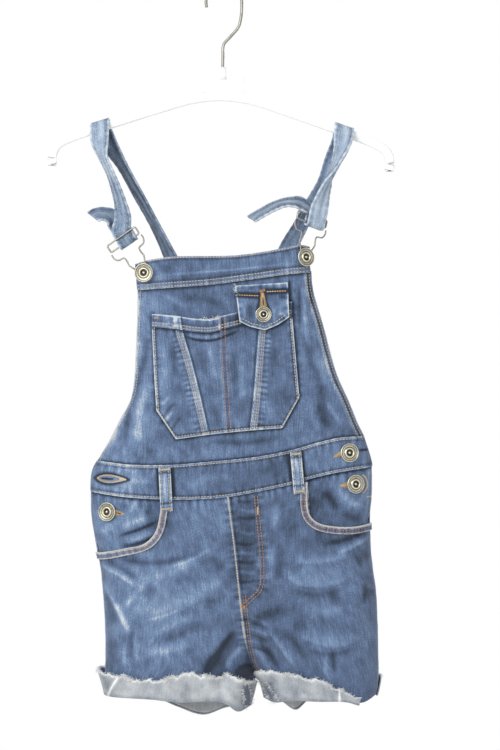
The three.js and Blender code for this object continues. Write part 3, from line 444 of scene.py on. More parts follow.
def marks_at(marks, x, z):
    """Height and tone that the marks give the cloth: worn pale lines, and painted light and shade on folds, puckers and
    beside seams.
    """
    height, tone = np.zeros(x.shape), np.zeros(x.shape)
    for number, mark in enumerate(marks):
        room = 3 * max(mark["width"], mark["above"], mark["reach"] if mark["pucker"] else 0)
        low, high = mark["line"].min(axis=0) - room, mark["line"].max(axis=0) + room
        inside = np.flatnonzero((x > low[0]) & (x < high[0]) & (z > low[1]) & (z < high[1]))
        if not len(inside):
            continue
        off, along, above, length = near(mark["line"], x[inside], z[inside])
        close = np.exp(-((off / np.where(above, mark["above"], mark["width"])) ** 2))
        if mark["ends"]:
            close = close * soft_step(np.minimum(along, length - along) / (0.3 * length) + 0.08)
        height[inside] += mark["height"] * close
        tone[inside] += mark["tone"] * close
        if mark["pucker"]:
            turn = 2 * np.pi * along / mark["wave"] + 1.4 * np.sin(along / 11 + number) + 0.9 * np.sin(along / 4.7)
            patchy = 0.4 + 0.75 * np.sin(along / 13 + 2 * number) ** 2
            beside_it = patchy * np.exp(-((off / mark["reach"]) ** 2)) * (1 - 0.6 * np.exp(-((off / 1.2) ** 2)))
            height[inside] += mark["pucker"] * np.cos(turn) * beside_it
            # pucker tone: painted light on each rise and painted shade in each dip, with some real wear
            tone[inside] += mark["mottle"] * np.cos(turn) * beside_it
    return height, tone


waves = np.random.default_rng(11).uniform(0, 1, (14, 3))


def crumple(x, z):
    """Gentle unevenness that handling leaves all over washed cloth, from -1 to 1."""
    total = np.zeros(np.shape(x))
    for length, turn, start in waves:
        way = turn * 2 * np.pi
        spacing = 9 + 26 * length
        total += np.sin((x * np.cos(way) + z * np.sin(way)) * 2 * np.pi / spacing + start * 40)
    return total / 5


def cloth_at(cloth, x, z, above=0.0):
    """Points on a panel, the way out of it, and its tone. Above is a height over its middle."""
    point, normal = surface(cloth["face"], x, z)
    height, tone = marks_at(cloth["marks"], x, z)
    uneven = crumple(x, z)
    # the unevenness also lightens its rises and darkens its dips: painted light and shade
    height, tone = height + 0.16 * uneven, tone + 0.1 * uneven
    lift = cloth["lift"](x, z) if callable(cloth["lift"]) else cloth["lift"]
    # lighter and darker patches: painted shade in hollows and under overlapping parts, painted light on the side the
    # light comes from, and real fading
    for cx, cz, rx, rz, shade_of in cloth.get("shades", ()):
        tone = tone + shade_of * np.exp(-(((x - cx) / rx) ** 2) - ((z - cz) / rz) ** 2)
    return point + normal * (lift + height + above)[:, None], normal, tone, lift + height + above


def new_cloth(face, marks=(), lift=0.0, shades=(), thickness=cloth_thickness):
    if not callable(lift):
        height = lift
        lift = lambda x, z: np.full(x.shape, height)
    return dict(face=face, marks=list(marks), lift=lift, shades=list(shades), thickness=thickness)


def grid_mesh(name, columns, rows):
    """A flat grid, with each corner's place across it and down it from 0 to 1."""
    bm = bmesh.new()
    bmesh.ops.create_grid(bm, x_segments=columns, y_segments=rows, size=0.5)
    mesh = finished(bm, name)
    flat = np.empty(len(mesh.vertices) * 3)
    mesh.vertices.foreach_get("co", flat)
    flat = flat.reshape(-1, 3) + 0.5
    return mesh, np.clip(flat[:, 0], 0, 1), np.clip(flat[:, 1], 0, 1)


def lay(mesh, points, tone, columns, rows, flip):
    """Moves the grid to its points and unrolls it into its cloth map, in metres of cloth."""
    mesh.vertices.foreach_set("co", (points * mm).ravel())
    grid = points.reshape(rows + 1, columns + 1, 3)
    across = np.cumsum(np.pad(np.linalg.norm(np.diff(grid, axis=1), axis=2), ((0, 0), (1, 0))), axis=1)
    down = np.cumsum(np.pad(np.linalg.norm(np.diff(grid, axis=0), axis=2), ((1, 0), (0, 0))), axis=0)
    middle = (columns + 1) // 2
    cut = np.stack([across - across[:, middle:middle + 1] + grid[rows // 2, middle, 0], -down], -1) * mm
    corner = np.empty(len(mesh.loops), dtype=np.int32)
    mesh.loops.foreach_get("vertex_index", corner)
    mesh.uv_layers.new(name="cloth").data.foreach_set("uv", cut.reshape(-1, 2)[corner].ravel())
    mesh.attributes.new("tone", "FLOAT", "POINT").data.foreach_set("value", tone.astype(np.float32))
    if flip:
        mesh.flip_normals()
    mesh.update()
    mesh["cut"] = [float(np.ptp(cut[..., 0])), float(np.ptp(cut[..., 1]))]


def as_sheet(piece, nodes, thickness):
    mesh = piece.data
    wall = piece.modifiers.new("cloth_thickness", "SOLIDIFY")
    wall.thickness = thickness * mm
    wall.offset = 0
    wall.use_even_offset = False
    wall.material_offset = 1 if len(mesh.materials) > 1 else 0
    area = sum(p.area for p in mesh.polygons)
    width, length = mesh["cut"]
    if area < 0.32 * width * length:
        width = area / 0.5 / length
    if nodes:
        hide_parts(*nodes)


def panel(name, region, cloth, cell, materials, nodes, left_seam="", right_seam=""):
    """A cloth panel over a region of the front plane, with cells of an even size."""
    fine = np.linspace(0, 1, 800)
    middle = region(fine, np.full(800, 0.5))
    along, _ = surface(cloth["face"], middle[:, 0], middle[:, 1])
    travelled = np.r_[0, np.cumsum(np.linalg.norm(np.diff(along, axis=0), axis=1))]
    drop = np.linalg.norm(np.diff(region(np.full(50, 0.5), np.linspace(0, 1, 50)), axis=0), axis=1).sum()
    columns, rows = max(round(travelled[-1] / cell), 2), max(round(drop / cell), 2)
    mesh, u, v = grid_mesh(name, columns, rows)
    place_of = region(np.interp(u * travelled[-1], travelled, fine), v)
    x, z = place_of[:, 0], place_of[:, 1]
    points, normal, tone, height = cloth_at(cloth, x, z)
    for edge, kind in ((u < 1e-6, left_seam), (u > 1 - 1e-6, right_seam)):
        if not kind:
            continue
        flat = normal[edge].copy()
        low = z[edge] < crotch_z + 1 if kind == "inner" else np.ones(edge.sum(), bool)
        flat[:, 1] = np.where(low, 0, flat[:, 1])
        flat[:, 0] = np.where(low, flat[:, 0], 0)
        flat /= np.maximum(np.linalg.norm(flat, axis=1, keepdims=True), 1e-9)
        base, _ = surface(cloth["face"], x[edge], z[edge])
        base[:, 1] = np.where(low, 0, base[:, 1])
        points[edge] = base + flat * height[edge][:, None]
    lay(mesh, points, tone, columns, rows, cloth["face"] == front)
    piece = place(name, mesh, *materials)
    as_sheet(piece, nodes, cloth["thickness"])
    return piece


def ramp_node(tree, colours, value):
    """A colour ramp with its colours evenly spaced."""
    ramp = add_node(tree, "ShaderNodeValToRGB", {}, {"Fac": value})
    stops = ramp.color_ramp.elements
    while len(stops) < len(colours):
        stops.new(0.5)
    for k, colour in enumerate(colours):
        stops[k].position = k / (len(colours) - 1)
        stops[k].color = linear(colour)
    return ramp


def woven_denim(name, colours, middle, streaks, grain):
    """Yarn-dyed cotton twill: blue warp over pale weft, washed down so that edges go pale; the tone attribute it reads
    carries that wear together with painted light and shade.
    """
    material, tree, shader = new_material(name, Roughness=0.92, Sheen_Weight=0.12, Sheen_Roughness=0.6)
    cut = add_node(tree, "ShaderNodeUVMap", {"uv_map": "cloth"})
    tone = add_node(tree, "ShaderNodeAttribute", {"attribute_name": "tone"})
    # Uneven warp yarns run down the cloth: 1.3 mm wide, which is coarser than real yarn so that they show
    turned = add_node(tree, "ShaderNodeMapping", {"Scale": (760.0, 62.0, 1.0)}, {"Vector": cut.outputs["UV"]})
    slub = add_node(tree, "ShaderNodeTexNoise", {"Scale": 1.0, "Detail": 2.0}, {"Vector": turned.outputs[0]})
    speck = add_node(tree, "ShaderNodeTexNoise", {"Scale": 720.0, "Detail": 2.0}, {"Vector": cut.outputs["UV"]})
    cloud = add_node(tree, "ShaderNodeTexNoise", {"Scale": 38.0, "Detail": 3.0}, {"Vector": cut.outputs["UV"]})
    # The twill line climbs at about 63 degrees, drawn 1.6 mm apart
    slanted = add_node(tree, "ShaderNodeMapping", {"Rotation": (0.0, 0.0, math.radians(27))},
                       {"Vector": cut.outputs["UV"]})
    twill = add_node(tree, "ShaderNodeTexWave", {"Scale": 196.0, "Distortion": 1.5, "Detail": 1.0},
                     {"Vector": slanted.outputs[0]})
    blotch = add_node(tree, "ShaderNodeTexNoise", {"Scale": 120.0, "Detail": 2.0}, {"Vector": cut.outputs["UV"]})
    # The tone attribute moves the ramp: worn fading, and painted light and shade on folds, seams and hollows
    total = add_node(tree, "ShaderNodeMath", {"operation": "MULTIPLY_ADD", 1: 0.5, 2: middle},
                     {0: tone.outputs["Fac"]})
    for texture, weight in ((slub, streaks), (speck, grain), (cloud, 0.34), (blotch, 0.3)):
        centred = add_node(tree, "ShaderNodeMath", {"operation": "MULTIPLY_ADD", 1: weight, 2: -weight / 2},
                           {0: texture.outputs["Fac"]})
        total = add_node(tree, "ShaderNodeMath", {"operation": "ADD"}, {0: total.outputs[0], 1: centred.outputs[0]})
    ramp = ramp_node(tree, colours, total.outputs[0])
    rough = add_node(tree, "ShaderNodeMath", {"operation": "ADD"}, {0: slub.outputs["Fac"], 1: speck.outputs["Fac"]})
    heights = add_node(tree, "ShaderNodeMath", {"operation": "MULTIPLY_ADD", 1: 0.35},
                       {0: twill.outputs["Fac"], 2: rough.outputs[0]})
    relief = add_node(tree, "ShaderNodeBump", {"Strength": 0.45, "Distance": 0.0005}, {"Height": heights.outputs[0]})
    tree.links.new(ramp.outputs["Color"], shader.inputs["Base Color"])
    tree.links.new(relief.outputs[0], shader.inputs["Normal"])
    return material


# Ring-spun cotton denim with elastane, stone washed: matt, cloudy blue, white where the dye has worn off and where
# painted light is strongest.
denim = woven_denim("stone_washed_denim", ["#1b273a", "#34445b", "#516484", "#7088a9", "#c0c8ce"], 0.5, 0.45, 0.5)
# The reverse of the same twill, where the undyed weft is on top: grey-white with blue flecks.
denim_reverse = woven_denim("denim_weft_side", ["#566170", "#888f98", "#acb1b6", "#cdd0d3", "#f6f6f4"], 0.5, 0.3, 0.4)


def sewing_thread(name, colours):
    """Polyester-cotton topstitching thread: slightly glossy, darker in its twist, faded in patches."""
    material, tree, shader = new_material(name, Roughness=0.55, Sheen_Weight=0.2)
    where = add_node(tree, "ShaderNodeTexCoord", {})
    twist = add_node(tree, "ShaderNodeTexNoise", {"Scale": 520.0, "Detail": 2.0}, {"Vector": where.outputs["Object"]})
    fade = add_node(tree, "ShaderNodeTexNoise", {"Scale": 60.0, "Detail": 2.0}, {"Vector": where.outputs["Object"]})
    mixed = add_node(tree, "ShaderNodeMath", {"operation": "MULTIPLY_ADD", 1: 0.5},
                     {0: twist.outputs["Fac"], 2: fade.outputs["Fac"]})
    ramp = ramp_node(tree, colours, mixed.outputs[0])
    relief = add_node(tree, "ShaderNodeBump", {"Strength": 0.3, "Distance": 0.0002}, {"Height": twist.outputs["Fac"]})
    tree.links.new(ramp.outputs["Color"], shader.inputs["Base Color"])
    tree.links.new(relief.outputs[0], shader.inputs["Normal"])
    return material


# Three shades: a washed tan along bands and edges, rust brown on the pocket and fly, gold round the buttonholes.
tan_thread = sewing_thread("tan_topstitching_thread", ["#7d6c58", "#a08d72", "#b9a88c", "#cfc3ad"])
rust_thread = sewing_thread("rust_topstitching_thread", ["#5c3b28", "#84583a", "#a1714a", "#b98e63"])
gold_thread = sewing_thread("gold_topstitching_thread", ["#6a5230", "#9b7c4c", "#bb9c69", "#d8c298"])


def copies(name, shape, turns, places):
    """Copies of one small shape, each turned, sized and placed, as one mesh."""
    block, whole, left = finished(shape, name + "_unit"), bmesh.new(), len(places)
    corners = np.empty(len(block.vertices) * 3)
    block.vertices.foreach_get("co", corners)
    while left:
        if left & 1:
            whole.from_mesh(block)
        left >>= 1
        if left:
            twice = bmesh.new()
            twice.from_mesh(block)
            twice.from_mesh(block)
            twice.to_mesh(block)
            twice.free()
    bpy.data.meshes.remove(block)
    mesh = finished(whole, name)
    points = np.einsum("nij,vj->nvi", turns, corners.reshape(-1, 3)) + places[:, None]
    mesh.vertices.foreach_set("co", (points * mm).ravel())
    mesh.update()
    return mesh


def stitches_at(cloth, x, z, way_x, way_z, length, width=0.9, above=0.15, height=0.6):
    """Stitches on a panel, each a row: its place, its way, the way out, and its three sizes."""
    x, z, way_x, way_z = (np.atleast_1d(np.asarray(a, float)) for a in np.broadcast_arrays(x, z, way_x, way_z))
    high = cloth["thickness"] / 2 + above
    size = np.maximum(np.hypot(way_x, way_z), 1e-9)
    way_x, way_z = way_x / size * 0.6, way_z / size * 0.6
    middle, normal, *_ = cloth_at(cloth, x, z, high)
    (end, *_), (start, *_) = (cloth_at(cloth, x + d * way_x, z + d * way_z, high) for d in (1, -1))
    sizes = np.stack(np.broadcast_arrays(length, width, height, x)[:3], 1)
    return np.hstack([middle, end - start, normal, sizes])


def along_line(line, pitch):
    """Spots along a line, and the way it runs at each."""
    line = np.asarray(line, float)
    travelled = np.r_[0, np.cumsum(np.linalg.norm(np.diff(line, axis=0), axis=1))]
    spots = np.arange(pitch / 2, travelled[-1], pitch)
    x, z = (np.interp(spots, travelled, line[:, k]) for k in (0, 1))
    way_x, way_z = (np.interp(spots + 0.5, travelled, line[:, k]) - np.interp(spots - 0.5, travelled, line[:, k])
                    for k in (0, 1))
    return x, z, way_x, way_z


def sew(cloth, line, pitch=3.0, length=2.75, width=0.95):
    """A row of lockstitches along a line on a panel, each a small rounded dash."""
    return stitches_at(cloth, *along_line(line, pitch), length, width)


def satin(cloth, line, start_length, end_length, pitch=0.85):
    """Close stitches laid across a line, as round a buttonhole or in a bar tack."""
    x, z, way_x, way_z = along_line(line, pitch)
    return stitches_at(cloth, x, z, -way_z, way_x, np.linspace(start_length, end_length, len(x)), 0.95, 0.22, 0.9)


def rows_across(rows):
    return rows / np.linalg.norm(rows, axis=1, keepdims=True)


def thread_piece(name, stitches, thread):
    """All the stitches of one piece as one mesh of small rounded dashes."""
    every = np.vstack(stitches)
    along = rows_across(every[:, 3:6])
    side = rows_across(np.cross(every[:, 6:9], along))
    out = np.cross(along, side)
    turns = np.stack([along * every[:, 9:10], side * every[:, 10:11], out * every[:, 11:12]], 2) / 2
    dash = bmesh.new()
    bmesh.ops.create_uvsphere(dash, u_segments=6, v_segments=4, radius=1.0)
    return place(name, copies(name, dash, turns, every[:, :3]), thread)


def add_stitching(name, *rows, thread=None):
    return thread_piece(name, [sew(*row) for row in rows], thread or tan_thread)


waist_bottom = smooth([(-133.5, -510), (-99, -514.8), (-66, -517), (-25, -517), (3, -514.8), (31, -510),
                       (68, -502), (81, -498.1), (107, -491.6), (148.3, -485)])
waist_top = smooth([(-127, -479.5), (-88, -482.7), (-51, -482.7), (-12, -479.4), (31, -475), (68, -468),
                    (96, -460), (118, -455.3), (139.8, -455)])
hem_back_left = smooth([(-118.5, -713), (-76, -719), (-48, -730), (-21, -738), (0, -731), (24.2, -724)])
hem_back_right = smooth([(42.8, -716), (58, -723), (72, -733), (87, -723), (121, -719), (152.6, -714)])
under_band = 2.0
hem_tuck = 0.5
centre_share = on_curve(waist_bottom, 4)
centre_line = np.stack([inner_at(np.linspace(-514, -690, 60))[:, 0], np.linspace(-514, -690, 60)], 1)
side_left = line_of(edge_of("left", -508, -700))
side_right = line_of(edge_of("right", -486, -700))
waist_line = line_of(waist_bottom, 70)

# Marks: pale worn seams; painted shade under the waistband and in the crease hollows, painted light on the crease
# ridges
back_marks = [
    seam(centre_line, 0.7, 1.0, 0.5), seam(beside(centre_line, 6), 0.15, 1.2, 0, 0.2),
    seam(waist_line, -0.35, 1.6, -0.2, 0.4, 8, 8),
    *[seam(line, 0.5, 1.0, 0, 0.12, 2, 7, 0.12) for line in (side_left, side_right)],
    crease(1.0, 0.3, 5, (-110, -590), (-70, -606), (-30, -612)), crease(-0.9, -0.2, 4, (-112, -604), (-74, -620)),
    crease(1.0, 0.3, 5, (140, -584), (100, -602), (58, -608)), crease(-0.9, -0.2, 4, (140, -600), (96, -618)),
    crease(0.8, 0.2, 6, (-60, -540), (-64, -600)), crease(0.8, 0.2, 6, (92, -540), (96, -604)),
    crease(1.2, 0.3, 5, (-4, -690), (-40, -660), (-70, -640)), crease(1.2, 0.3, 5, (56, -688), (84, -664), (110, -648)),
]
# Tone patches: lighter over the seat, painted shade in the crotch and just under the waistband
back_shades = [(-60, -590, 50, 45, 0.25), (85, -590, 50, 45, 0.25), (20, -680, 30, 30, -0.4), (15, -530, 120, 16, -0.12)]
shorts_back = new_cloth(back, back_marks, shades=back_shades)
back_top_left = lowered(stretch(waist_bottom, 0, centre_share), -under_band)
back_top_right = lowered(stretch(waist_bottom, centre_share, 1), -under_band)
panel("shorts_back_left_panel", patch(
    back_top_left, lowered(hem_back_left, -hem_tuck),
    edge_of("left", -508, -713 + hem_tuck), inner_edge("left", float(back_top_left(np.ones(1))[0, 1]), -724 + hem_tuck),
), shorts_back, 2.0, (denim, denim_reverse), ["shorts_back_left"],
    left_seam="side", right_seam="inner")
panel("shorts_back_right_panel", patch(
    back_top_right, lowered(hem_back_right, -hem_tuck),
    inner_edge("right", float(back_top_right(np.zeros(1))[0, 1]), -716 + hem_tuck), edge_of("right", -483, -714 + hem_tuck),
), shorts_back, 2.0, (denim, denim_reverse), ["shorts_back_right"],
    left_seam="inner", right_seam="side")
add_stitching("shorts_back_stitching",
              (shorts_back, beside(centre_line, 2.4)), (shorts_back, beside(centre_line, 6.2)))


# Side pieces: the pocket bags' facings, which fill the pocket openings behind the front panels.
# They take the side buttons and run back under the front panels' cut edges.
bag_depth = layer_step + seam_gap


def bag_lift(x, z):
    """Behind the front panel, but level with the back panel along the side seam."""
    level = level_table(z)
    by_left = soft_step(1 - (x - level[..., 0]) / 16) * soft_step((z + 566) / 10)
    by_right = soft_step(1 - (level[..., 1] - x) / 16) * soft_step((z + 540) / 10)
    return -bag_depth * (1 - np.maximum(by_left, by_right))


# Marks: painted shade in the crease hollows and in a band under the waistband, painted light on the crease ridges, pale
# worn side seams
bag_marks = [
    crease(-1.6, -1.3, 1.8, (-64, -538), (-82, -546), (-107, -555)), crease(1.0, 0.5, 3, (-66, -547), (-98, -562)),
    crease(-0.8, -1.0, 1.8, (-66, -553), (-84, -561), (-104, -564)), crease(0.6, 0.4, 3, (-74, -534), (-104, -545)),
    crease(-0.4, -0.5, 3, (-72, -520), (-78, -534)), crease(0.5, 0.5, 3, (-88, -516), (-94, -532)),
    crease(-1.0, -0.8, 4, (98, -508), (108, -518), (112, -530)), crease(0.8, 0.45, 4, (112, -506), (124, -518), (142, -526)),
    crease(-0.6, -0.5, 4, (118, -532), (140, -538)), crease(0.6, 0.3, 4, (-112, -542), (-124, -552)),
    seam(waist_line, -1.0, 2.2, 0, 0.4, 8, 8),
    *[seam(line, 0.6, 1.0, 0, 0.12, 2, 7, 0.12) for line in (side_left, side_right)],
    seam(beside(side_right, -4), 0.3, 1.2, 0.2, 0),
]
# Tone patches: the left piece lighter, painted shade beside the pocket openings' edges and under the right belt loop
bag_shades = [(-104, -540, 40, 40, 0.24), (132, -502, 20, 16, 0.25), (-70, -540, 8, 16, -0.4), (92, -522, 14, 24, -0.5),
              (124, -534, 30, 12, -0.1)]
side_cloth = new_cloth(front, bag_marks, bag_lift, bag_shades)
panel("side_piece_left_panel", patch(
    lowered(stretch(waist_bottom, 0, on_curve(waist_bottom, -58)), -1.0),
    smooth([(-128.4, -581), (-96, -577.5), (-73, -571), (-60, -556), (-54, -540)]),
    edge_of("left", -509, -581), straight([(-58, -516), (-54, -540)]),
), side_cloth, 1.4, (denim, denim_reverse), ["side_piece_left"], left_seam="side")
panel("side_piece_right_panel", patch(
    lowered(stretch(waist_bottom, on_curve(waist_bottom, 79), 1), -1.0),
    smooth([(76, -530), (80, -545), (92, -554), (112, -556), (146.5, -552)]),
    straight([(79, -498), (76, -530)]), edge_of("right", -484, -552),
), side_cloth, 1.4, (denim, denim_reverse), ["side_piece_right"], right_seam="side")


# Shorts, front panels: cut away at the pocket openings, with a mock fly sewn in a J beside the middle seam.
# Thighs are faded in fan-shaped whiskers, and the seams pucker from washing.
pocket_curve_left = [(-129.2, -570.5), (-120, -570), (-99, -566.4), (-81.6, -562), (-70.8, -553.4),
                     (-66.4, -544.7), (-63.8, -531.7), (-61.5, -517.2)]
pocket_curve_right = [(83.4, -497.8), (83.7, -525), (86.4, -533.9), (94, -540.4), (107, -543.6),
                      (128.7, -544.3), (146, -541.7)]
hem_front_left = smooth([(-118.5, -713), (-98, -713), (-72, -714.5), (-46, -717.5), (-16, -716.5), (0, -719), (13, -727.5),
                         (23.6, -724)])
hem_front_right = smooth([(42.8, -716), (52, -718), (62, -716), (83, -716), (121, -716.5), (138, -720.5), (152.6, -714)])
fly_line = line_of(smooth([(33.3, -513), (36.6, -545), (38.7, -566), (39.8, -588), (39.4, -601), (35.5, -610),
                           (29, -616), (20.3, -624)]), 60)
opening_left = line_of(smooth(pocket_curve_left), 60)
opening_right = line_of(smooth(pocket_curve_right), 60)
# Marks: pale worn seams, whiskers faded into the thighs, painted shade in fold hollows, beside the middle seam, under
# the waistband and beside the pocket openings, and painted light on fold ridges
front_marks = [
    seam(centre_line, 1.0, 0.9, 0.5, 0.3, 6), seam(beside(centre_line, 2.4), -0.55, 1.2, -0.2, 0),
    seam(fly_line, -0.3, 1.5, -0.3, 0.35, 6, 8), seam(waist_line, -0.8, 1.7, -0.3, 0.5, 9, 8),
    seam(opening_left, -0.25, 9, 0, 0.3, 9, 9), seam(opening_right, -0.25, 9, 0, 0.3, 9, 9),
    *[seam(line, 0.65, 1.1, 0, 0.15, 2.5, 7, 0.15) for line in (side_left, side_right)],
    # creases and whiskers of the left leg: thin bright ones by the side seam, broad soft ones over the thigh, and
    # painted shade in the creases' hollows
    crease(0.5, 0.45, 1.8, (-127, -581), (-110, -589), (-94, -599), (-84, -607), above=4),
    crease(0.8, 0.4, 2.2, (-124, -595), (-112, -615), (-103, -630), (-90, -657)),
    crease(0.5, 0.35, 4.5, (-110, -618), (-102, -632), (-94, -650)),
    crease(-0.8, -0.4, 4, (-121, -606), (-113, -624), (-106, -642)),
    crease(0.6, 0.35, 3.2, (-103, -630), (-94, -618), (-83, -606), (-71, -594)),
    crease(0.3, 0.28, 4.0, (-90, -598), (-54, -590), (-31, -579), (-10, -568), above=8),
    crease(0.3, 0.33, 5.0, (-94, -634), (-63, -627), (-38, -618), (-14, -604), (9, -590), above=7),
    crease(0.3, 0.25, 1.6, (-86, -640), (-50, -629), (-20, -614)),
    crease(0.3, 0.3, 5, (-104, -560), (-70, -574)), crease(-0.9, -0.5, 3.0, (-112, -572), (-80, -580), (-46, -577), (-20, -567)),
    crease(-0.6, -0.45, 3.0, (-120, -576), (-100, -586), (-84, -598)), crease(0.3, 0.3, 1.6, (-60, -586), (-30, -576), (-8, -562)),
    crease(0.5, 0.35, 2.4, (-88, -642), (-88, -660), (-86, -682)), crease(0.4, 0.25, 2.2, (-98, -656), (-99, -684)),
    crease(-0.6, -0.45, 3, (-91, -646), (-92, -676)), crease(0.4, 0.35, 4.5, (-80, -668), (-58, -668), (-32, -658)),
    crease(0.3, 0.3, 4.0, (-78, -652), (-50, -642), (-26, -628)), crease(-0.3, -0.35, 5, (-70, -660), (-40, -650), (-14, -636)),
    crease(-0.6, -0.28, 6, (-80, -614), (-64, -604)), crease(-0.5, -0.35, 5, (-14, -628), (-12, -614)),
    crease(-0.5, -0.28, 5, (-48, -598), (-30, -592)), crease(-0.3, -0.4, 6, (-112, -654), (-110, -690)),
    crease(-0.4, -0.3, 5, (-12, -572), (-2, -590)), crease(0.3, 0.3, 5, (-30, -528), (-24, -556)),
    crease(-0.3, -0.35, 5, (-58, -530), (-52, -556)), crease(0.3, 0.35, 4, (-4, -524), (2, -560)),
    # the deep fold at the crotch, painted dark in its hollow as shade, and wrinkles that run from it
    crease(-1.2, -1.3, 3.4, (13, -645), (-2, -664), (-14, -682), (-25, -696)), crease(-0.6, -0.6, 7, (-4, -668), (-18, -690)),
    crease(0.8, 0.7, 3.5, (4, -690), (5, -678), (12, -670), (20, -664)), crease(-0.5, -1.6, 3.5, (26, -684), (18, -688), (12, -695)),
    crease(0.8, 0.5, 1.8, (42, -644), (52, -656), (60, -668), (72, -684), above=3),
    crease(-0.6, -0.5, 4, (52, -644), (70, -658), (86, -684)), crease(0.5, 0.4, 3, (28, -664), (38, -674), (50, -692)),
    crease(-0.6, -0.6, 3, (32, -652), (44, -668), (58, -690)), crease(-0.4, -0.5, 5, (26, -640), (44, -630), (60, -628)),
    *[crease(0.5, 0.35, 1.4, (24, z), (36, z - 3), (46, z - 8)) for z in (-634, -645, -657)],
    *[crease(-0.5, -0.5, 1.6, (24, z), (36, z - 3), (46, z - 8)) for z in (-639, -651, -663)],
    # short wrinkles across the fly, painted light on their rises and painted shade in their dips
    *[crease(0.6, 0.4, 1.8, (14, z + 3), (24, z), (34, z + 1)) for z in (-529, -551, -571, -590)],
    *[crease(-0.8, -0.55, 1.8, (10, z + 2), (22, z), (35, z + 2)) for z in (-520, -536, -562, -580, -599)],
    # whiskers of the right leg hang like smiles, each with a crisp lower edge, and painted shade lies in the folds
    # between them
    crease(-1.1, -0.8, 3.0, (98, -562), (118, -558), (142, -550)), crease(0.7, 0.6, 1.4, (112, -571), (128, -565), (146, -555), above=4),
    crease(0.4, 0.35, 1.5, (60, -576), (86, -580), (115, -575), (128, -570), above=6),
    crease(0.6, 0.38, 1.4, (58, -590), (72, -600), (97, -603), (119, -597), (132, -588), above=15),
    crease(-0.4, -0.35, 4.0, (60, -604), (90, -612), (124, -604), above=3),
    crease(0.5, 0.36, 1.6, (70, -648), (90, -659), (115, -662), (140, -652), above=15),
    crease(-0.4, -0.35, 4.0, (76, -664), (104, -671), (140, -662), above=2),
    crease(0.2, 0.3, 5.0, (76, -622), (104, -628), (134, -622)),
    crease(-0.5, -0.4, 6, (130, -580), (146, -574)), crease(-0.6, -0.35, 5, (140, -616), (148, -606)),
    crease(0.0, -0.5, 2.2, (141, -598), (139, -624)),
    crease(-0.5, -0.4, 6, (66, -645), (84, -640)), crease(-0.5, -0.2, 6, (102, -613), (118, -611)),
    crease(-0.6, -0.55, 2.5, (108, -664), (110, -690)), crease(0.4, 0.4, 2.0, (102, -668), (101, -692)),
    crease(-0.4, -0.4, 4, (58, -560), (52, -600)), crease(0.4, 0.35, 3.5, (48, -560), (47, -606)),
    crease(-0.3, -0.3, 5, (66, -524), (70, -552)), crease(0.3, 0.3, 4, (52, -520), (50, -548)),
]
# Tone patches: a darker fly, a painted shadow in the crotch hollow, and broad lighter and darker patches over the legs
front_shades = [(20, -560, 14, 60, -0.55), (-4, -684, 18, 14, -0.3), (-72, -610, 44, 44, 0.3), (-30, -540, 34, 26, 0.05),
                (95, -590, 34, 22, 0.1), (95, -620, 60, 60, -0.08), (44, -650, 14, 40, -0.2), (104, -560, 50, 16, -0.2),
                (21, -691, 8, 6, -1.8), (-80, -670, 50, 20, 0.2), (60, -535, 20, 30, -0.1), (34, -520, 8, 12, -0.2)]
shorts_front = new_cloth(front, front_marks, shades=front_shades)
front_centre = on_curve(waist_bottom, 4)
shorts_top_left = joined(smooth(pocket_curve_left), lowered(stretch(waist_bottom, on_curve(waist_bottom, -61.5),
                                                                    front_centre), -under_band))
shorts_top_right = joined(lowered(stretch(waist_bottom, front_centre, on_curve(waist_bottom, 83.4)), -under_band),
                          smooth(pocket_curve_right))
panel("shorts_front_left_panel", patch(
    shorts_top_left, lowered(hem_front_left, -hem_tuck), edge_of("left", -570.5, -713 + hem_tuck),
    inner_edge("left", float(shorts_top_left(np.ones(1))[0, 1]), -726 + hem_tuck),
), shorts_front, 1.15, (denim, denim_reverse), ["shorts_front_left"],
    left_seam="side", right_seam="inner")
panel("shorts_front_right_panel", patch(
    shorts_top_right, lowered(hem_front_right, -hem_tuck),
    inner_edge("right", float(shorts_top_right(np.zeros(1))[0, 1]), -716 + hem_tuck),
    edge_of("right", -541.7, -714 + hem_tuck),
), shorts_front, 1.15, (denim, denim_reverse), ["shorts_front_right"],
    left_seam="inner", right_seam="side")
rise_line = centre_line[centre_line[:, 1] < -612]
add_stitching("shorts_front_stitching",
              (shorts_front, fly_line), (shorts_front, beside(fly_line, -3.2)),
              (shorts_front, beside(rise_line, 3.0)), (shorts_front, beside(rise_line, 5.6)), thread=rust_thread)
add_stitching("shorts_front_seam_edge", (shorts_front, beside(centre_line, -0.2), 2.7, 2.8, 1.5))


# Pocket bindings: the folded and twice stitched edge along each pocket opening.
binding_width = 7.0


def binding_region(curve):
    def at(u, v):
        point = curve(u)
        way = curve(np.minimum(u + 0.01, 1)) - curve(np.maximum(u - 0.01, 0))
        way /= np.linalg.norm(way, axis=1, keepdims=True)
        found = point + np.stack([way[:, 1], -way[:, 0]], 1) * binding_width * v[:, None]
        found[:, 0] = np.clip(found[:, 0], level_at(found[:, 1], "left"), level_at(found[:, 1], "right"))
        return found

    return at


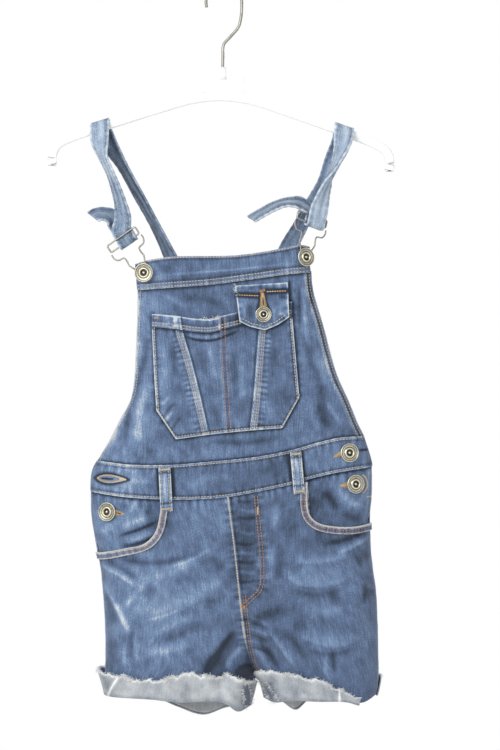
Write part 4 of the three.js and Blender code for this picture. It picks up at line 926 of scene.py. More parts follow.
for side, points, fade in (("left", pocket_curve_left[:7], 0.6), ("right", pocket_curve_right[1:], 0.2)):
    curve = smooth(points)
    if side == "left":
        curve = smooth(points + [(-61.8, -517.5)])
    else:
        curve = smooth([(83.4, -500)] + points)
    region = binding_region(curve)
    outer, inner_line = (region(np.linspace(0, 1, 60), np.full(60, v)) for v in (0.0, 1.0))
    edge, one, two, rim = (region(np.linspace(0.01, 0.99, 60), np.full(60, v)) for v in (0.16, 0.46, 0.74, 0.94))
    # Pale worn edges, painted shade along the sunk stitch rows, and the left binding made paler than the right
    binding = new_cloth(front, [
        seam(outer, 1.2, 1.5, 0.2, 0.2, 4, 6), seam(inner_line, 0.9, 0.9, 0, 0.2, 4, 6),
        seam(one, -0.7, 0.8, -0.25, 0), seam(two, -0.5, 0.8, -0.25, 0),
    ], 1.9, [(0, -545, 400, 200, fade)], thickness=1.2)
    panel(f"pocket_binding_{side}_fold", region, binding, 0.8, (denim, denim_reverse),
          [f"pocket_binding_{side}"],
          left_seam="side" if side == "left" else "", right_seam="side" if side == "right" else "")
    add_stitching(f"pocket_binding_{side}_stitching", (binding, one), (binding, two, 3.0, 2.75, 0.7), thread=rust_thread)
    add_stitching(f"pocket_binding_{side}_edge", (binding, edge, 2.6, 2.8, 1.5), (binding, rim, 2.8, 2.8, 0.8))


# Cuffs: the legs' own cloth turned up once to the outside, so the pale reverse shows, with a raw top edge.
# The edge is frayed to loose white weft threads, and the leg's inner seam shows its allowance.
turn_radius = layer_step / 2 + 0.15
wall_share = 0.8


def ragged(x, seed):
    """How far a torn edge strays up or down along its length."""
    return (0.9 * np.sin(x / 3.1 + seed) + 0.7 * np.sin(x / 1.7 + 2 * seed) + 0.8 * np.sin(x / 7.3 + seed)
            + 0.5 * np.sin(x / 0.9 + 3 * seed))


def fray(points, normals, count, reach, seed, thick=0.2, tuft=0.0):
    """Loose weft threads along a raw edge, each bent once: how each part is turned and sized, and its middle."""
    dice = np.random.default_rng(seed)
    x = points[:, 0]
    chances = 1 + tuft * (np.sin(x / 4.3 + seed) * np.sin(x / 11 + 2 * seed) > 0.25)
    picks = dice.choice(len(points), count, p=chances / chances.sum())
    base = points[picks] + dice.uniform(-0.8, 0.8, (count, 3))
    way = normals[picks] * dice.uniform(0, 0.5, (count, 1)) + dice.uniform((-1.5, -0.2, -0.5), (1.5, 0.2, 0.6), (count, 3))
    turns, middles = [], []
    for size in (1.0, 0.7):
        way = rows_across(way)
        side = rows_across(np.cross(way, (0.3, 1.0, 0.2)))
        length, radius = reach * dice.uniform(0.35, 1.0, (count, 1)), thick * size * dice.uniform(0.7, 1.3, (count, 1))
        turns.append(np.stack([side * radius, np.cross(way, side) * radius, way * length], 2))
        middles.append(base + way * length / 2)
        base = base + way * length * 0.95
        way = way + dice.uniform(-0.8, 0.8, (count, 3))
    return np.vstack(turns), np.vstack(middles)


def fringe_piece(name, frays):
    thread = bmesh.new()
    bmesh.ops.create_cone(thread, cap_ends=True, segments=3, radius1=1.0, radius2=0.6, depth=1.0)
    turns, middles = (np.concatenate(parts) for parts in zip(*frays))
    return place(name, copies(name, thread, turns, middles), weft_thread)


# Undyed cotton weft, brushed out by washing: soft white, no gloss.
weft_thread, tree, shader = new_material("frayed_cotton_weft", Roughness=1.0, Sheen_Weight=0.35)
where = add_node(tree, "ShaderNodeTexCoord", {})
fleck = add_node(tree, "ShaderNodeTexNoise", {"Scale": 300.0, "Detail": 2.0}, {"Vector": where.outputs["Object"]})
ramp = ramp_node(tree, ["#b9c2cd", "#eceeef", "#fbfbfa"], fleck.outputs["Fac"])
relief = add_node(tree, "ShaderNodeBump", {"Strength": 0.2, "Distance": 0.0002}, {"Height": fleck.outputs["Fac"]})
tree.links.new(ramp.outputs["Color"], shader.inputs["Base Color"])
tree.links.new(relief.outputs[0], shader.inputs["Normal"])


def cuff(name, node, face, top, hem, left_side, right_side, flare, left_seam, right_seam, cell, seed, marks, shades):
    fine = np.linspace(0, 1, 800)
    along, _ = surface(face, *hem(fine).T)
    travelled = np.r_[0, np.cumsum(np.linalg.norm(np.diff(along, axis=0), axis=1))]
    columns, rows = round(travelled[-1] / cell), round(34 / cell)
    mesh, u, v = grid_mesh(name, columns, rows)
    s = np.interp(u * travelled[-1], travelled, fine)
    top_line, ends = line_of(top, 200), hem(np.array([0.0, 1.0]))[:, 0]
    hem_x, hem_z = hem(s).T
    down = np.minimum(v / wall_share, 1)
    turn = np.maximum(v - wall_share, 0) / (1 - wall_share) * np.pi
    top_z = np.interp(hem_x, top_line[:, 0], top_line[:, 1]) + ragged(hem_x, seed)
    z = top_z * (1 - down) + hem_z * down
    x = left_side(z) + (right_side(z) - left_side(z)) * (hem_x - ends[0]) / (ends[1] - ends[0])
    point, normal = surface(face, x, z)
    for edge, kind in ((u < 1e-6, left_seam), (u > 1 - 1e-6, right_seam)):
        if kind:
            point[edge, 1] = 0
            normal[edge, 1] = 0
    normal /= np.linalg.norm(normal, axis=1, keepdims=True)
    height, tone = marks_at(marks, x, z)
    for cx, cz, rx, rz, shade_of in shades:
        tone = tone + shade_of * np.exp(-(((x - cx) / rx) ** 2) - ((z - cz) / rz) ** 2)
    # white frayed weft along the torn top edge, and painted shade where the cuff rolls under at the hem
    tone = tone + 0.15 * crumple(x, z) + 0.9 * np.exp(-((down * 12) ** 2)) - 0.3 * np.exp(-(((down - 1) * 12) ** 2))
    lift = turn_radius * (1 + np.cos(turn)) + flare(s) * (1 - down) ** 1.5 + height * (1 - down * 0.7)
    points = point + normal * lift[:, None]
    points[:, 2] -= turn_radius * np.sin(turn)
    lay(mesh, points, tone, columns, rows, face == front)
    piece = place(name, mesh, denim_reverse, denim)
    as_sheet(piece, [node], cloth_thickness)
    torn = (v < 1e-6) & (u > 0.01) & (u < 0.99)
    return points[torn], normal[torn]


def outer_left(z):
    return level_at(z, "left")


def outer_right(z):
    return level_at(z, "right")


def inner_left(z):
    return inner_at(z)[..., 0]


def inner_right(z):
    return inner_at(z)[..., 1]


def flare_left(s):
    return 1 + 4.5 * (1 - s) ** 4


def flare_none(s):
    return np.ones_like(s)


top_front_left = smooth([(-119.5, -690), (-102, -691.6), (-92, -696), (-61, -694.8), (-38.6, -690), (-16, -692.6),
                         (6, -695.5), (28, -702)])
top_front_right = smooth([(39.5, -699), (45, -692), (52, -687.5), (62, -688.5), (77, -691), (92.6, -696.5), (109.8, -704),
                          (121.3, -709.5), (133, -716)])
top_back_left = smooth([(-119.5, -690), (-90, -692), (-40, -697), (0, -699), (28, -702)])
top_back_right = smooth([(39.5, -701), (70, -698), (110, -696), (154, -697)])
tapered_hem = lowered(stretch(hem_front_right, 0, on_curve(hem_front_right, 134)), 0.5)
cuff_marks = [
    seam([(-103, -694.5), (-110, -705), (-114.5, -715)], 1.3, 1.0, 0.3, 0), crease(0.6, -0.2, 5, (-70, -700), (-52, -716)),
    crease(-0.6, -0.25, 4, (-40, -696), (-32, -714)), crease(0.6, 0.2, 5, (-20, -700), (-8, -716)),
    crease(-0.5, -0.3, 3, (4, -700), (12, -718)), seam([(114.5, -700), (115, -718)], 1.3, 1.0, 0.3, 0),
    crease(-0.5, -0.2, 5, (70, -700), (78, -714)), crease(0.5, 0.2, 5, (90, -702), (98, -716)),
]
cuff_shades = [(20, -713, 5, 15, -1.5), (48, -708, 6, 13, -1.3), (-60, -716, 60, 6, -0.15), (-113, -704, 7, 14, -0.4),
               (110, -712, 20, 8, -0.2), (70, -704, 10, 10, -0.2), (92, -704, 40, 20, -0.2)]
edges = [
    cuff("cuff_front_left_fold", "cuff_front_left", front, top_front_left, hem_front_left, outer_left,
         inner_left, flare_left, True, True, 1.1, 1.3, cuff_marks, cuff_shades),
    cuff("cuff_front_right_fold", "cuff_front_right", front, top_front_right, tapered_hem, inner_right,
         lambda z: 134 + (z + 720.5) * 0.2, flare_none, True, False, 1.1, 2.1, cuff_marks, cuff_shades),
    cuff("cuff_back_left_fold", "cuff_back_left", back, top_back_left, hem_back_left, outer_left,
         inner_left, flare_left, True, True, 2.0, 0.4, [], []),
    cuff("cuff_back_right_fold", "cuff_back_right", back, top_back_right, hem_back_right, inner_right,
         outer_right, flare_none, True, True, 2.0, 3.2, [], []),
]
frays = [fray(*edge, count, 2.3, seed, 0.3, tuft) for edge, count, seed, tuft in
         zip(edges, (1000, 560, 300, 300), (5, 9, 2, 3), (5.0, 3.0, 1.0, 1.0))]
# The inner leg seams' cut allowances fray too, in two strips across the cuffs
allowance = new_cloth(front, [], 2 * turn_radius + 1.6)
for number, strip in enumerate(([(17, -700), (19, -712), (22, -727)], [(43, -698), (48, -708), (55, -719)])):
    strip_line = line_of(smooth(strip), 30)
    for offset in (-3.5, 3.5):
        points, normals, *_ = cloth_at(allowance, *beside(strip_line, offset).T)
        frays.append(fray(points, normals, 70, 2.6, 20 + number + int(offset)))
fringe_piece("cuff_fraying", frays)


# Waistband: a doubled strip of denim round the top of the shorts, topstitched along both edges.
waist_top_line = line_of(waist_top, 70)
def lens(start, end, half):
    """A closed line round a slit that stands open, widest near its start."""
    start, end = np.asarray(start, float), np.asarray(end, float)
    share = np.linspace(0, 1, 25)[:, None]
    middle, swell = start + (end - start) * share, half * np.sin(np.pi * share ** 0.75)
    side = np.array([start[1] - end[1], end[0] - start[0]]) / np.linalg.norm(end - start)
    return np.vstack([middle + side * swell, (middle - side * swell)[::-1]])


waist_hole = lens((-125.5, -496.3), (-98, -497.3), 3.4)
# Marks: pale worn edges and painted shade along the sunk stitch rows
band_marks = [
    seam(waist_top_line, 0.85, 1.2, 0, 0.4, 8, 8, 0.3), seam(waist_line, 0.85, 1.1, 0, 0.4, 8, 8, 0.3),
    seam(beside(waist_top_line, -3.6), -0.4, 1.0, -0.2, 0), seam(beside(waist_line, 3.6), -0.5, 1.2, -0.2, 0),
    # painted shade round the left buttonhole's stitching
    seam(lens((-128.5, -496.3), (-95, -497.4), 5.2), -1.5, 1.5, 0, 0),
    # painted shadows on the band beside each belt loop
    *[seam(line, tone, width, 0, 0) for line, tone, width in (
        ([(-66.6, -487), (-64.4, -514)], -1.1, 1.3), ([(-51.8, -487), (-50, -514)], -1.8, 1.8),
        ([(64.6, -472), (67.5, -500)], -1.4, 1.5), ([(78.4, -470), (80.6, -496)], -1.2, 1.4))],
    # a painted dark line in the right buttonhole's slit, then creases, with painted shade beside the loops
    crease(-0.7, -1.8, 1.2, (133, -468.6), (147, -468)), crease(0.4, 0.3, 3, (-96, -498), (-70, -500)),
    crease(0.3, 0.25, 4, (-30, -496), (10, -494)), crease(-0.3, -0.2, 4, (20, -492), (48, -486)),
    crease(-0.4, -0.35, 2.5, (-66, -488), (-66, -512)), crease(-0.4, -0.3, 2.5, (64, -474), (66, -500)),
]
# Tone patches: lighter at the left end, darker patches across the middle and near the belt loops
band_shades = [(-100, -496, 34, 20, 0.5), (126, -471, 16, 14, 0.3), (100, -478, 12, 14, 0.15), (52, -486, 12, 20, -0.25),
               (-76, -500, 10, 20, -0.2), (10, -494, 50, 20, -0.2), (-28, -500, 14, 12, 0.3)]
band_cloth = new_cloth(front, band_marks, 0.15, band_shades, band_thickness)
panel("waistband_front_strip", patch(waist_top, waist_bottom, edge_of("left", -479.5, -510),
                                     edge_of("right", -455, -485)),
      band_cloth, 1.15, (denim, denim_reverse), ["waistband_front"],
      left_seam="side", right_seam="side")
back_band = new_cloth(back, [seam(waist_top_line, 0.6, 1.2, 0, 0.45, 9, 8), seam(waist_line, 0.6, 1.2, 0, 0.45, 9, 8)],
                      0.15, [], band_thickness)
panel("waistband_back_strip", patch(waist_top, waist_bottom, edge_of("left", -479.5, -510),
                                    edge_of("right", -455, -485)),
      back_band, 1.8, (denim, denim_reverse), ["waistband_back"],
      left_seam="side", right_seam="side")
add_stitching("waistband_stitching",
              (band_cloth, beside(waist_top_line, -2.2)[2:-2]), (band_cloth, beside(waist_line, 2.2)[2:-2]),
              (back_band, beside(waist_top_line, -3)[3:-3]), (back_band, beside(waist_line, 3)[3:-3]))


# Belt loops: folded strips sewn over the waistband at top and bottom, standing a little off it.
loop_rows = (("left", (-59.3, -486), (-57, -529.5), 12.0), ("right", (71.5, -470.5), (75.2, -512), 11.0))
for side, (top_x, top_z), (low_x, low_z), width in loop_rows:
    half = width / 2
    edge_1 = line_of(straight([(top_x - half, top_z), (low_x - half, low_z)]), 12)
    edge_2 = line_of(straight([(top_x + half, top_z + 1), (low_x + half, low_z + 1)]), 12)
    # Pale worn edges; painted shade along the sunk stitch rows and where the loop tucks under its tacks
    loop = new_cloth(front, [
        seam(edge_1, 1.0, 1.0, 0, 0.15, 3, 6), seam(edge_2, 1.0, 1.0, 0, 0.15, 3, 6),
        seam(edge_2 - (3, 0), -0.5, 0.8, -0.2, 0), seam(edge_1 + (3, 0), -0.3, 0.8, -0.2, 0),
        seam([(top_x - half, top_z - 5), (top_x + half, top_z - 4)], -0.9, 1.2, -0.2, 0),
        seam([(low_x - half, low_z + 8), (low_x + half, low_z + 9)], -0.9, 1.2, -0.2, 0),
        crease(0.5, 0.3, 4, (top_x, top_z), (low_x, low_z)),
    ], lambda x, z, t=top_z, b=low_z: 2.3 + 1.1 * np.sin(np.pi * np.clip((t - z) / (t - b), 0, 1)),
        [(top_x, (top_z + low_z) / 2, 20, 40, 0.3)], thickness=1.6)
    panel(f"belt_loop_{side}_strip", patch(
        straight([edge_1[0], edge_2[0]]), straight([edge_1[-1], edge_2[-1]]), straight(edge_1), straight(edge_2),
    ), loop, 0.8, (denim,), [f"belt_loop_{side}"])
    add_stitching(f"belt_loop_{side}_stitching", (loop, beside(edge_1, 2.4)), (loop, beside(edge_2, -2.4)))


# Back bib: rises from the back waistband and narrows to the place where the straps are sewn on.
back_bib_left = smooth([(-24, -367), (-38, -402), (-66, -438), (-98, -464), tuple(waist_top(np.array([0.01]))[0])])
back_bib_right = smooth([(28, -367), (42, -396), (72, -424), (106, -444), tuple(waist_top(np.array([0.985]))[0])])
back_bib_edges = [line_of(back_bib_left, 40), line_of(back_bib_right, 40)]
back_bib_top = smooth([(-24, -367), (2, -365), (28, -367)])
# Pale worn edges, painted shade along the waistband seam, creases painted dark in their hollows and light on their
# ridges
back_bib = new_cloth(back, [
    *[seam(e, 0.7, 1.1, 0.2, 0.35, 6, 7) for e in back_bib_edges], seam(line_of(back_bib_top), 0.7, 1.1, 0, 0.2),
    seam(waist_top_line, -0.4, 2.0, 0, 0.4, 8, 8), crease(-0.8, -0.25, 6, (-20, -400), (-40, -450)),
    crease(0.8, 0.25, 6, (24, -396), (44, -440)), crease(0.6, 0.2, 8, (0, -390), (2, -460)),
])
panel("back_bib_panel", patch(back_bib_top, lowered(stretch(waist_top, 0.01, 0.985), 2.0), back_bib_left, back_bib_right),
      back_bib, 1.9, (denim, denim_reverse), ["back_bib"])
add_stitching("back_bib_stitching",
              *[(back_bib, beside(e, o)[1:-3]) for e, s in zip(back_bib_edges, (1, -1)) for o in (2.2 * s, 6.0 * s)],
              (back_bib, line_of(lowered(back_bib_top, 2.5))))


# Bib: one panel from the waistband to the band along its top edge, hemmed at both sides.
bib_top = smooth([(-89.5, -282), (-74, -277.5), (-51, -274.5), (13, -273), (57, -266.5), (77, -262.8), (85, -264)])
bib_band_seam = smooth([(-86.2, -308), (-50, -305.5), (-12, -302.5), (30, -297), (61.5, -292.5), (85.6, -290)])
bib_seam_line = line_of(bib_band_seam, 60)
bib_left_line = line_of(edge_of("left", -306, -481), 60)
bib_right_line = line_of(edge_of("right", -288, -457), 60)
left_corner, right_corner = (-67.5, -428.5), (75.2, -415.4)
mouth_sag = [(-71.2, -332), (-46, -334.5), (-30, -337), (-12, -337.5), (0, -334), (20, -329), (40, -322), (68, -320)]
pocket_mouth = smooth(mouth_sag)
pocket_bottom = smooth([(-48, -457.1), (-14.4, -452.3), (29, -448), (58.2, -445.8)])
pocket_edge = np.vstack([[mouth_sag[0]], [left_corner], line_of(pocket_bottom, 30), [right_corner], [mouth_sag[-1]]])
# Marks: pale worn hems; painted shadows under the band, along the waistband, round the pocket and beside the flap;
# painted shade in the crease hollows and painted light on their ridges
bib_marks = [
    seam(bib_seam_line, -1.1, 2.2, 0, 0.15, 8, 8, 0.1), seam(waist_top_line, -1.1, 1.8, 0, 0.2, 9, 9, 0.12),
    seam(bib_left_line, 0.9, 1.2, 0.3, 0.15, 5, 7, 0.12), seam(bib_right_line, 0.9, 1.2, 0.3, 0.2, 5, 7, 0.15),
    seam(beside(bib_right_line, -6.5), 0.6, 1.2, 0.2, 0), seam(beside(bib_right_line, -3.4), -0.6, 1.3, -0.2, 0),
    seam(pocket_edge, -0.8, 2.4, 0, 0.15, 7, 8, 0.12), seam([(65.5, -300), (67.2, -336)], -1.1, 1.6, 0, 0),
    crease(0.5, 0.35, 4.5, (-81, -318), (-85, -380), (-101, -436), (-118, -470)),
    crease(-0.9, -0.75, 4.0, (-77, -350), (-79, -372), (-87, -400), (-95, -428), (-98, -450), (-99, -468)),
    crease(0.6, 0.4, 4, (-74, -396), (-84, -430), (-86, -466)), crease(0.3, 0.4, 3, (-106, -444), (-118, -474)),
    crease(-0.5, -0.4, 5, (79, -345), (88, -380), (98, -410), (106, -440)),
    crease(0.6, 0.5, 2.4, (80, -296), (80, -330), (84, -366)), crease(-0.6, -0.6, 2.2, (86, -294), (87, -326)),
    crease(-0.5, -0.5, 2.4, (75, -300), (76, -350)),
    crease(-0.8, -0.5, 4.0, (92, -420), (106, -447)), crease(0.7, 0.35, 4.0, (84, -426), (96, -452)),
    crease(0.6, 0.4, 2.5, (100, -416), (118, -444)),
    crease(0.6, 0.15, 5.0, (-40, -466), (0, -470), (50, -462)), crease(-0.5, -0.1, 4.0, (-84, -452), (-70, -474)),
    crease(-0.3, -0.4, 3.0, (-20, -458), (20, -461), (60, -455)),
    crease(0.5, 0.3, 5.0, (92, -370), (104, -412)), crease(-0.4, -0.3, 4.0, (-44, -314), (-10, -320), (4, -326)),
    crease(0.4, 0.35, 3.0, (-60, -312), (-36, -326)), crease(0.4, 0.3, 2.6, (-6, -310), (6, -324)),
]
# Tone patches: lighter down the left side, painted shade just below the band, and darker spots at the lower right and
# on the left
bib_shades = [(-76, -330, 18, 50, 0.3), (-94, -420, 26, 70, 0.35), (94, -380, 30, 70, 0.12), (0, -312, 60, 8, -0.2),
              (98, -438, 12, 18, -0.3), (-78, -356, 9, 20, -0.3)]
bib_cloth = new_cloth(front, bib_marks, shades=bib_shades)
panel("bib_panel", patch(lowered(bib_band_seam, -2.0), lowered(waist_top, 2.0), edge_of("left", -306, -481.5),
                         edge_of("right", -288, -457)),
      bib_cloth, 1.25, (denim, denim_reverse), ["bib_front"])
add_stitching("bib_side_stitching",
              (bib_cloth, beside(bib_right_line, -2.2)), (bib_cloth, beside(bib_right_line, -5.4)),
              (bib_cloth, beside(bib_left_line, 2.4)))


# Bib band: a doubled strip across the bib's top edge that takes the dungaree buttons.
bib_top_line = line_of(bib_top, 60)
# Pale worn edges, painted shade along the sunk stitch rows, and a pale crease across the middle
bib_band_marks = [
    seam(bib_top_line, 0.9, 1.1, 0, 0.25, 6, 9, 0.15), seam(bib_seam_line, 0.8, 0.9, 0, 0.3, 6, 8, 0.2),
    seam(beside(bib_top_line, -3), -0.5, 1.0, -0.2, 0), seam(beside(bib_seam_line, 3.4), 0.1, 2.2, 0.2, 0.25, 4, 5, 0.2),
    seam(beside(bib_seam_line, 6.8), -0.6, 1.2, -0.2, 0),
    crease(0.4, 0.45, 0.9, (-70, -293.5), (-20, -290), (20, -286.5), (74, -280.5)),
    crease(-0.3, -0.2, 2.2, (-66, -297), (-20, -293.5), (20, -290)), crease(0.2, 0.2, 3, (-46, -282), (-46, -300)),
    crease(0.2, 0.2, 3, (-16, -280), (-16, -298)), crease(-0.2, -0.2, 3, (-34, -280), (-31, -298)),
    crease(-0.2, -0.2, 4, (40, -276), (42, -290)), crease(-0.2, -0.2, 3, (2, -278), (4, -296)),
    crease(0.3, 0.35, 1.2, (62, -270), (63.5, -288)),
]
bib_band = new_cloth(front, bib_band_marks, 0.15, [(-68, -290, 14, 14, 0.4), (-80, -302, 12, 8, 0.3),
                                                   (66, -284, 12, 14, 0.2), (-58, -287, 8, 6, -0.5)], band_thickness)
panel("bib_band_strip", patch(bib_top, bib_band_seam, straight([(-89.5, -282), (-86.2, -308)]),
                              straight([(85, -264), (85.6, -290)])),
      bib_band, 1.15, (denim, denim_reverse), ["bib_top_band"])
add_stitching("bib_band_stitching",
              (bib_band, beside(bib_top_line, -1.4)), (bib_band, beside(bib_seam_line, 1.6)),
              (bib_band, beside(bib_seam_line, 5.0)))


# Bib pocket: four parts joined by felled seams, with a folded hem along the mouth.
# It is sewn to the bib along its sides and foot, and its mouth gapes a little.
pocket_hem_depth = 13.0
hem_thickness = 2.0
pocket_hem_line = lowered(pocket_mouth, pocket_hem_depth)
side_top_left, side_top_right = pocket_hem_line(np.zeros(1))[0], pocket_hem_line(np.ones(1))[0]


def pocket_gape(x, z):
    return layer_step + 3 * np.exp(-(((x + 12) / 30) ** 2)) * soft_step((z + 395) / 60)


foot = joined(joined(straight([left_corner, (-48, -457.1)]), pocket_bottom, 0.22),
              straight([(58.2, -445.8), right_corner]), 0.8)
# The folded edge of each felled seam, and the side its stitched band lies on
felled = [
    (-1, line_of(smooth([(-44.3, -335), (-42, -349), (-34, -376), (-26, -407), (-15.7, -451)]), 40)),
    (1, line_of(smooth([(36.4, -336), (35.4, -349), (33, -380), (29.8, -419.5), (26.6, -447)]), 40)),
]
felled_marks, felled_stitches = [], []
for hand, line in felled:
    # pale folded edge, a painted shadow beside it, the raised band lighter with puckers, and painted shade along a sunk
    # row
    felled_marks += [seam(line, 1.1, 0.8, 0.35, 0), seam(beside(line, -1.6 * hand), -0.8, 1.3, -0.3, 0),
                     seam(beside(line, 3.6 * hand), 0.4, 2.4, 0.4, 0.35, 3, 4.5, 0.25),
                     seam(beside(line, 7.4 * hand), -0.3, 1.0, -0.3, 0),
                     seam(beside(line, 9 * hand), 0.1, 2.5, 0, 0.4, 3, 5.5, 0.6)]
    felled_stitches += [beside(line, 1.6 * hand), beside(line, 3.6 * hand), beside(line, 5.6 * hand)]
middle_seam = line_of(smooth([(-1.5, -336), (1.2, -389), (5, -450)]), 40)
foot_line = line_of(foot, 60)
pocket_left_line = line_of(straight([side_top_left, left_corner]), 20)
pocket_right_line = line_of(straight([side_top_right, right_corner]), 20)
hem_low = line_of(pocket_hem_line, 50)
flap_outline = [(11, -304), (15.5, -340), (26, -345), (40.9, -348.6), (54, -343), (65.2, -335.5), (63.7, -300.5)]
# Marks: pale worn edges; painted shadows under the hem, round the flap and along the sunk stitch rows; painted light
# and shade on the creases
pocket_marks = [
    *[seam(line, 1.25, 1.1, 0.2, 0.35, 6, 7) for line in (foot_line, pocket_left_line, pocket_right_line)],
    seam(hem_low, -1.2, 2.4, 0, 0.3, 7, 8),
    seam(foot_line + (0, 3.2), -0.7, 1.0, -0.2, 0), seam(pocket_left_line + (3, 0), -0.6, 1.0, -0.2, 0),
    seam(pocket_right_line - (3, 0), -0.6, 1.0, -0.2, 0), seam(flap_outline, -0.9, 2.6, 0, 0),
    *felled_marks, seam(middle_seam, -0.3, 1.2, 0.3, 0.3, 5, 7, 0.15), seam(beside(middle_seam, -3.4), 0.35, 0.9, 0.1, 0),
    crease(0.8, 0.4, 2.0, (-42, -350), (-30, -353.5), (-12, -355), (2, -351)),
    crease(-0.8, -1.6, 1.2, (-42, -353), (-30, -357.5), (-12, -358.5), (4, -353.5), (18, -347)),
    crease(0.6, 0.6, 1.6, (-62, -442), (-50, -428)), crease(-0.6, -0.6, 1.8, (-60, -432), (-48, -420)),
    crease(0.4, 0.5, 1.6, (-63, -424), (-54, -414)), crease(-0.5, -0.5, 1.6, (-52, -446), (-42, -434)),
    crease(0.5, 0.35, 4, (-62, -360), (-58, -400)), crease(-0.4, -0.35, 4, (-52, -360), (-48, -396)),
    crease(-0.4, -0.35, 4, (-26, -362), (-16, -400)), crease(0.3, 0.35, 3, (-16, -360), (-8, -400)),
    crease(0.4, 0.35, 4, (16, -370), (19, -420)), crease(-0.3, -0.35, 4, (10, -366), (12, -420)),
    crease(0.4, 0.15, 4, (58, -366), (60, -410)), crease(-0.4, -0.3, 4, (50, -362), (52, -390)),
    crease(-0.3, -0.35, 4, (-10, -420), (-6, -446)), crease(0.3, 0.3, 5, (44, -416), (48, -440)),
]
# Tone patches: painted shade under the pocket hem, and lighter and darker patches elsewhere
pocket_shades = [(14, -352, 30, 6, -0.3), (-60, -400, 10, 40, 0.2), (-49, -338, 5, 7, 0.5), (12, -337, 11, 7, -0.7),
                 (-16, -330, 12, 6, 0.3), (62, -400, 16, 40, -0.2), (-56, -340, 10, 6, 0.2), (-14, -396, 22, 44, 0.14)]
pocket_cloth = new_cloth(front, pocket_marks, pocket_gape, pocket_shades)
pocket_region = patch(lowered(pocket_hem_line, -1.5), foot, straight([side_top_left + (0, 1.5), left_corner]),
                      straight([side_top_right + (0, 1.5), right_corner]))
panel("bib_pocket_panel", pocket_region, pocket_cloth, 1.05, (denim, denim_reverse),
      ["bib_pocket_left", "bib_pocket_centre_left", "bib_pocket_centre_right", "bib_pocket_right"])
# Pale worn mouth; painted shade along its sunk stitch row, round the flap and beside the middle seam
hem_marks = [
    seam(line_of(pocket_mouth, 50), 1.3, 1.2, 0, 0.1, 6, 8), seam(hem_low, 0.2, 1.2, 0, 0.3, 6, 7, 0.15),
    seam(line_of(lowered(pocket_mouth, 6.6), 50), -0.3, 1.4, -0.2, 0),
    seam(line_of(lowered(pocket_mouth, 9.5), 50), 0.35, 1.4, 0.1, 0.3, 4, 5, 0.15),
    *felled_marks, seam(flap_outline, -0.9, 2.6, 0, 0), seam(middle_seam, -0.6, 1.4, 0.3, 0),
    seam(beside(middle_seam, -3.4), 0.7, 0.9, 0.1, 0),
    crease(0.3, 0.9, 2.4, (-22, -335), (-13, -336), (-5, -335)), crease(-0.3, -0.4, 4, (66, -326), (70, -330)),
]
hem_cloth = new_cloth(front, hem_marks, lambda x, z: pocket_gape(x, z) + 0.3, pocket_shades, hem_thickness)
panel("bib_pocket_hem_fold", patch(pocket_mouth, pocket_hem_line, straight([mouth_sag[0], side_top_left]),
                                   straight([mouth_sag[7], side_top_right])),
      hem_cloth, 0.9, (denim, denim_reverse), ["bib_pocket_hem"])
add_stitching("bib_pocket_edge_stitching",
              (pocket_cloth, foot_line + (0, 2.4)), (pocket_cloth, pocket_left_line + (2.2, 0)),
              (pocket_cloth, pocket_right_line - (2.2, 0)), (hem_cloth, line_of(lowered(pocket_mouth, 8.6), 50)),
              (hem_cloth, line_of(lowered(pocket_mouth, 11.4), 50)))
below_hem = [line[line[:, 1] < pocket_hem_line(np.full(1, on_curve(pocket_hem_line, line[0, 0])))[0, 1] - 1]
             for line in felled_stitches + [beside(middle_seam, -2), beside(middle_seam, 2)]]
add_stitching("bib_pocket_felled_stitching", *[(pocket_cloth, line, 3.0, 2.75, 0.85) for line in below_hem[:6]])
add_stitching("bib_pocket_seam_stitching", *[(pocket_cloth, line, 3.0, 2.75, 0.85) for line in below_hem[6:]],
              *[(hem_cloth, beside(middle_seam, o)[:6]) for o in (-2, 2)], thread=rust_thread)
worn, worn_out, *_ = cloth_at(hem_cloth, *line_of(pocket_mouth, 200).T)
worn_part = (worn[:, 0] > -23) & (worn[:, 0] < -4)
fringe_piece("bib_pocket_fraying", [fray(worn[worn_part], worn_out[worn_part], 90, 2.2, 41, 0.2)])


# Pocket flap: a small shaped flap folded over the pocket's corner and buttoned down.
flap_rise = layer_step + hem_thickness - cloth_thickness / 2 + seam_gap + cloth_thickness / 2 + 0.5


def flap_lift(x, z):
    v = (-302 - z) / 42
    return layer_step + (flap_rise - layer_step + pocket_gape(x, z) - layer_step) * soft_step(v / 0.45)


flap_foot = straight(flap_outline[1:-1])
flap_bars = [[(12, -313.4), (34, -314.2)], [(42.5, -309.9), (63.5, -309.1)]]
# Pale worn edges, dark bands along the bar tacks, dark lines either side of the buttonhole, painted shade in the crease
# hollows and painted light on crease ridges
flap = new_cloth(front, [
    seam(flap_outline, 1.25, 1.2, 0, 0.25, 5, 7), seam([(11, -304), (63.7, -300.5)], 0.9, 1.4, 0, 0.3, 5, 7),
    *[seam(bar, -2.6, 2.6, -0.2, 0) for bar in flap_bars],
    seam([(33.2, -329), (35.4, -320), (36, -311)], -1.3, 1.3, 0, 0), seam([(45.6, -329), (42, -320), (41, -311)], -1.3, 1.3, 0, 0),
    crease(0.4, 0.5, 1.2, (20, -324), (20.5, -338)), crease(0.4, 0.4, 1.2, (32, -326), (32, -342)),
    crease(0.4, 0.4, 1.4, (49, -326), (50, -341)), crease(-0.4, -0.5, 3, (26, -322), (27, -338)),
    crease(0.3, 0.5, 1.2, (54, -332), (63, -333)), crease(-0.4, -0.7, 2.5, (55, -338), (62, -336)),
    crease(-0.3, -0.6, 2, (54, -316), (62, -315)), crease(-0.3, -0.5, 2.4, (27, -304), (27, -309)),
], flap_lift, [(58, -326, 7, 8, 0.3), (18, -318, 6, 6, 0.3), (36, -305, 6, 3, -0.5), (58, -304, 8, 3, 0.4)])
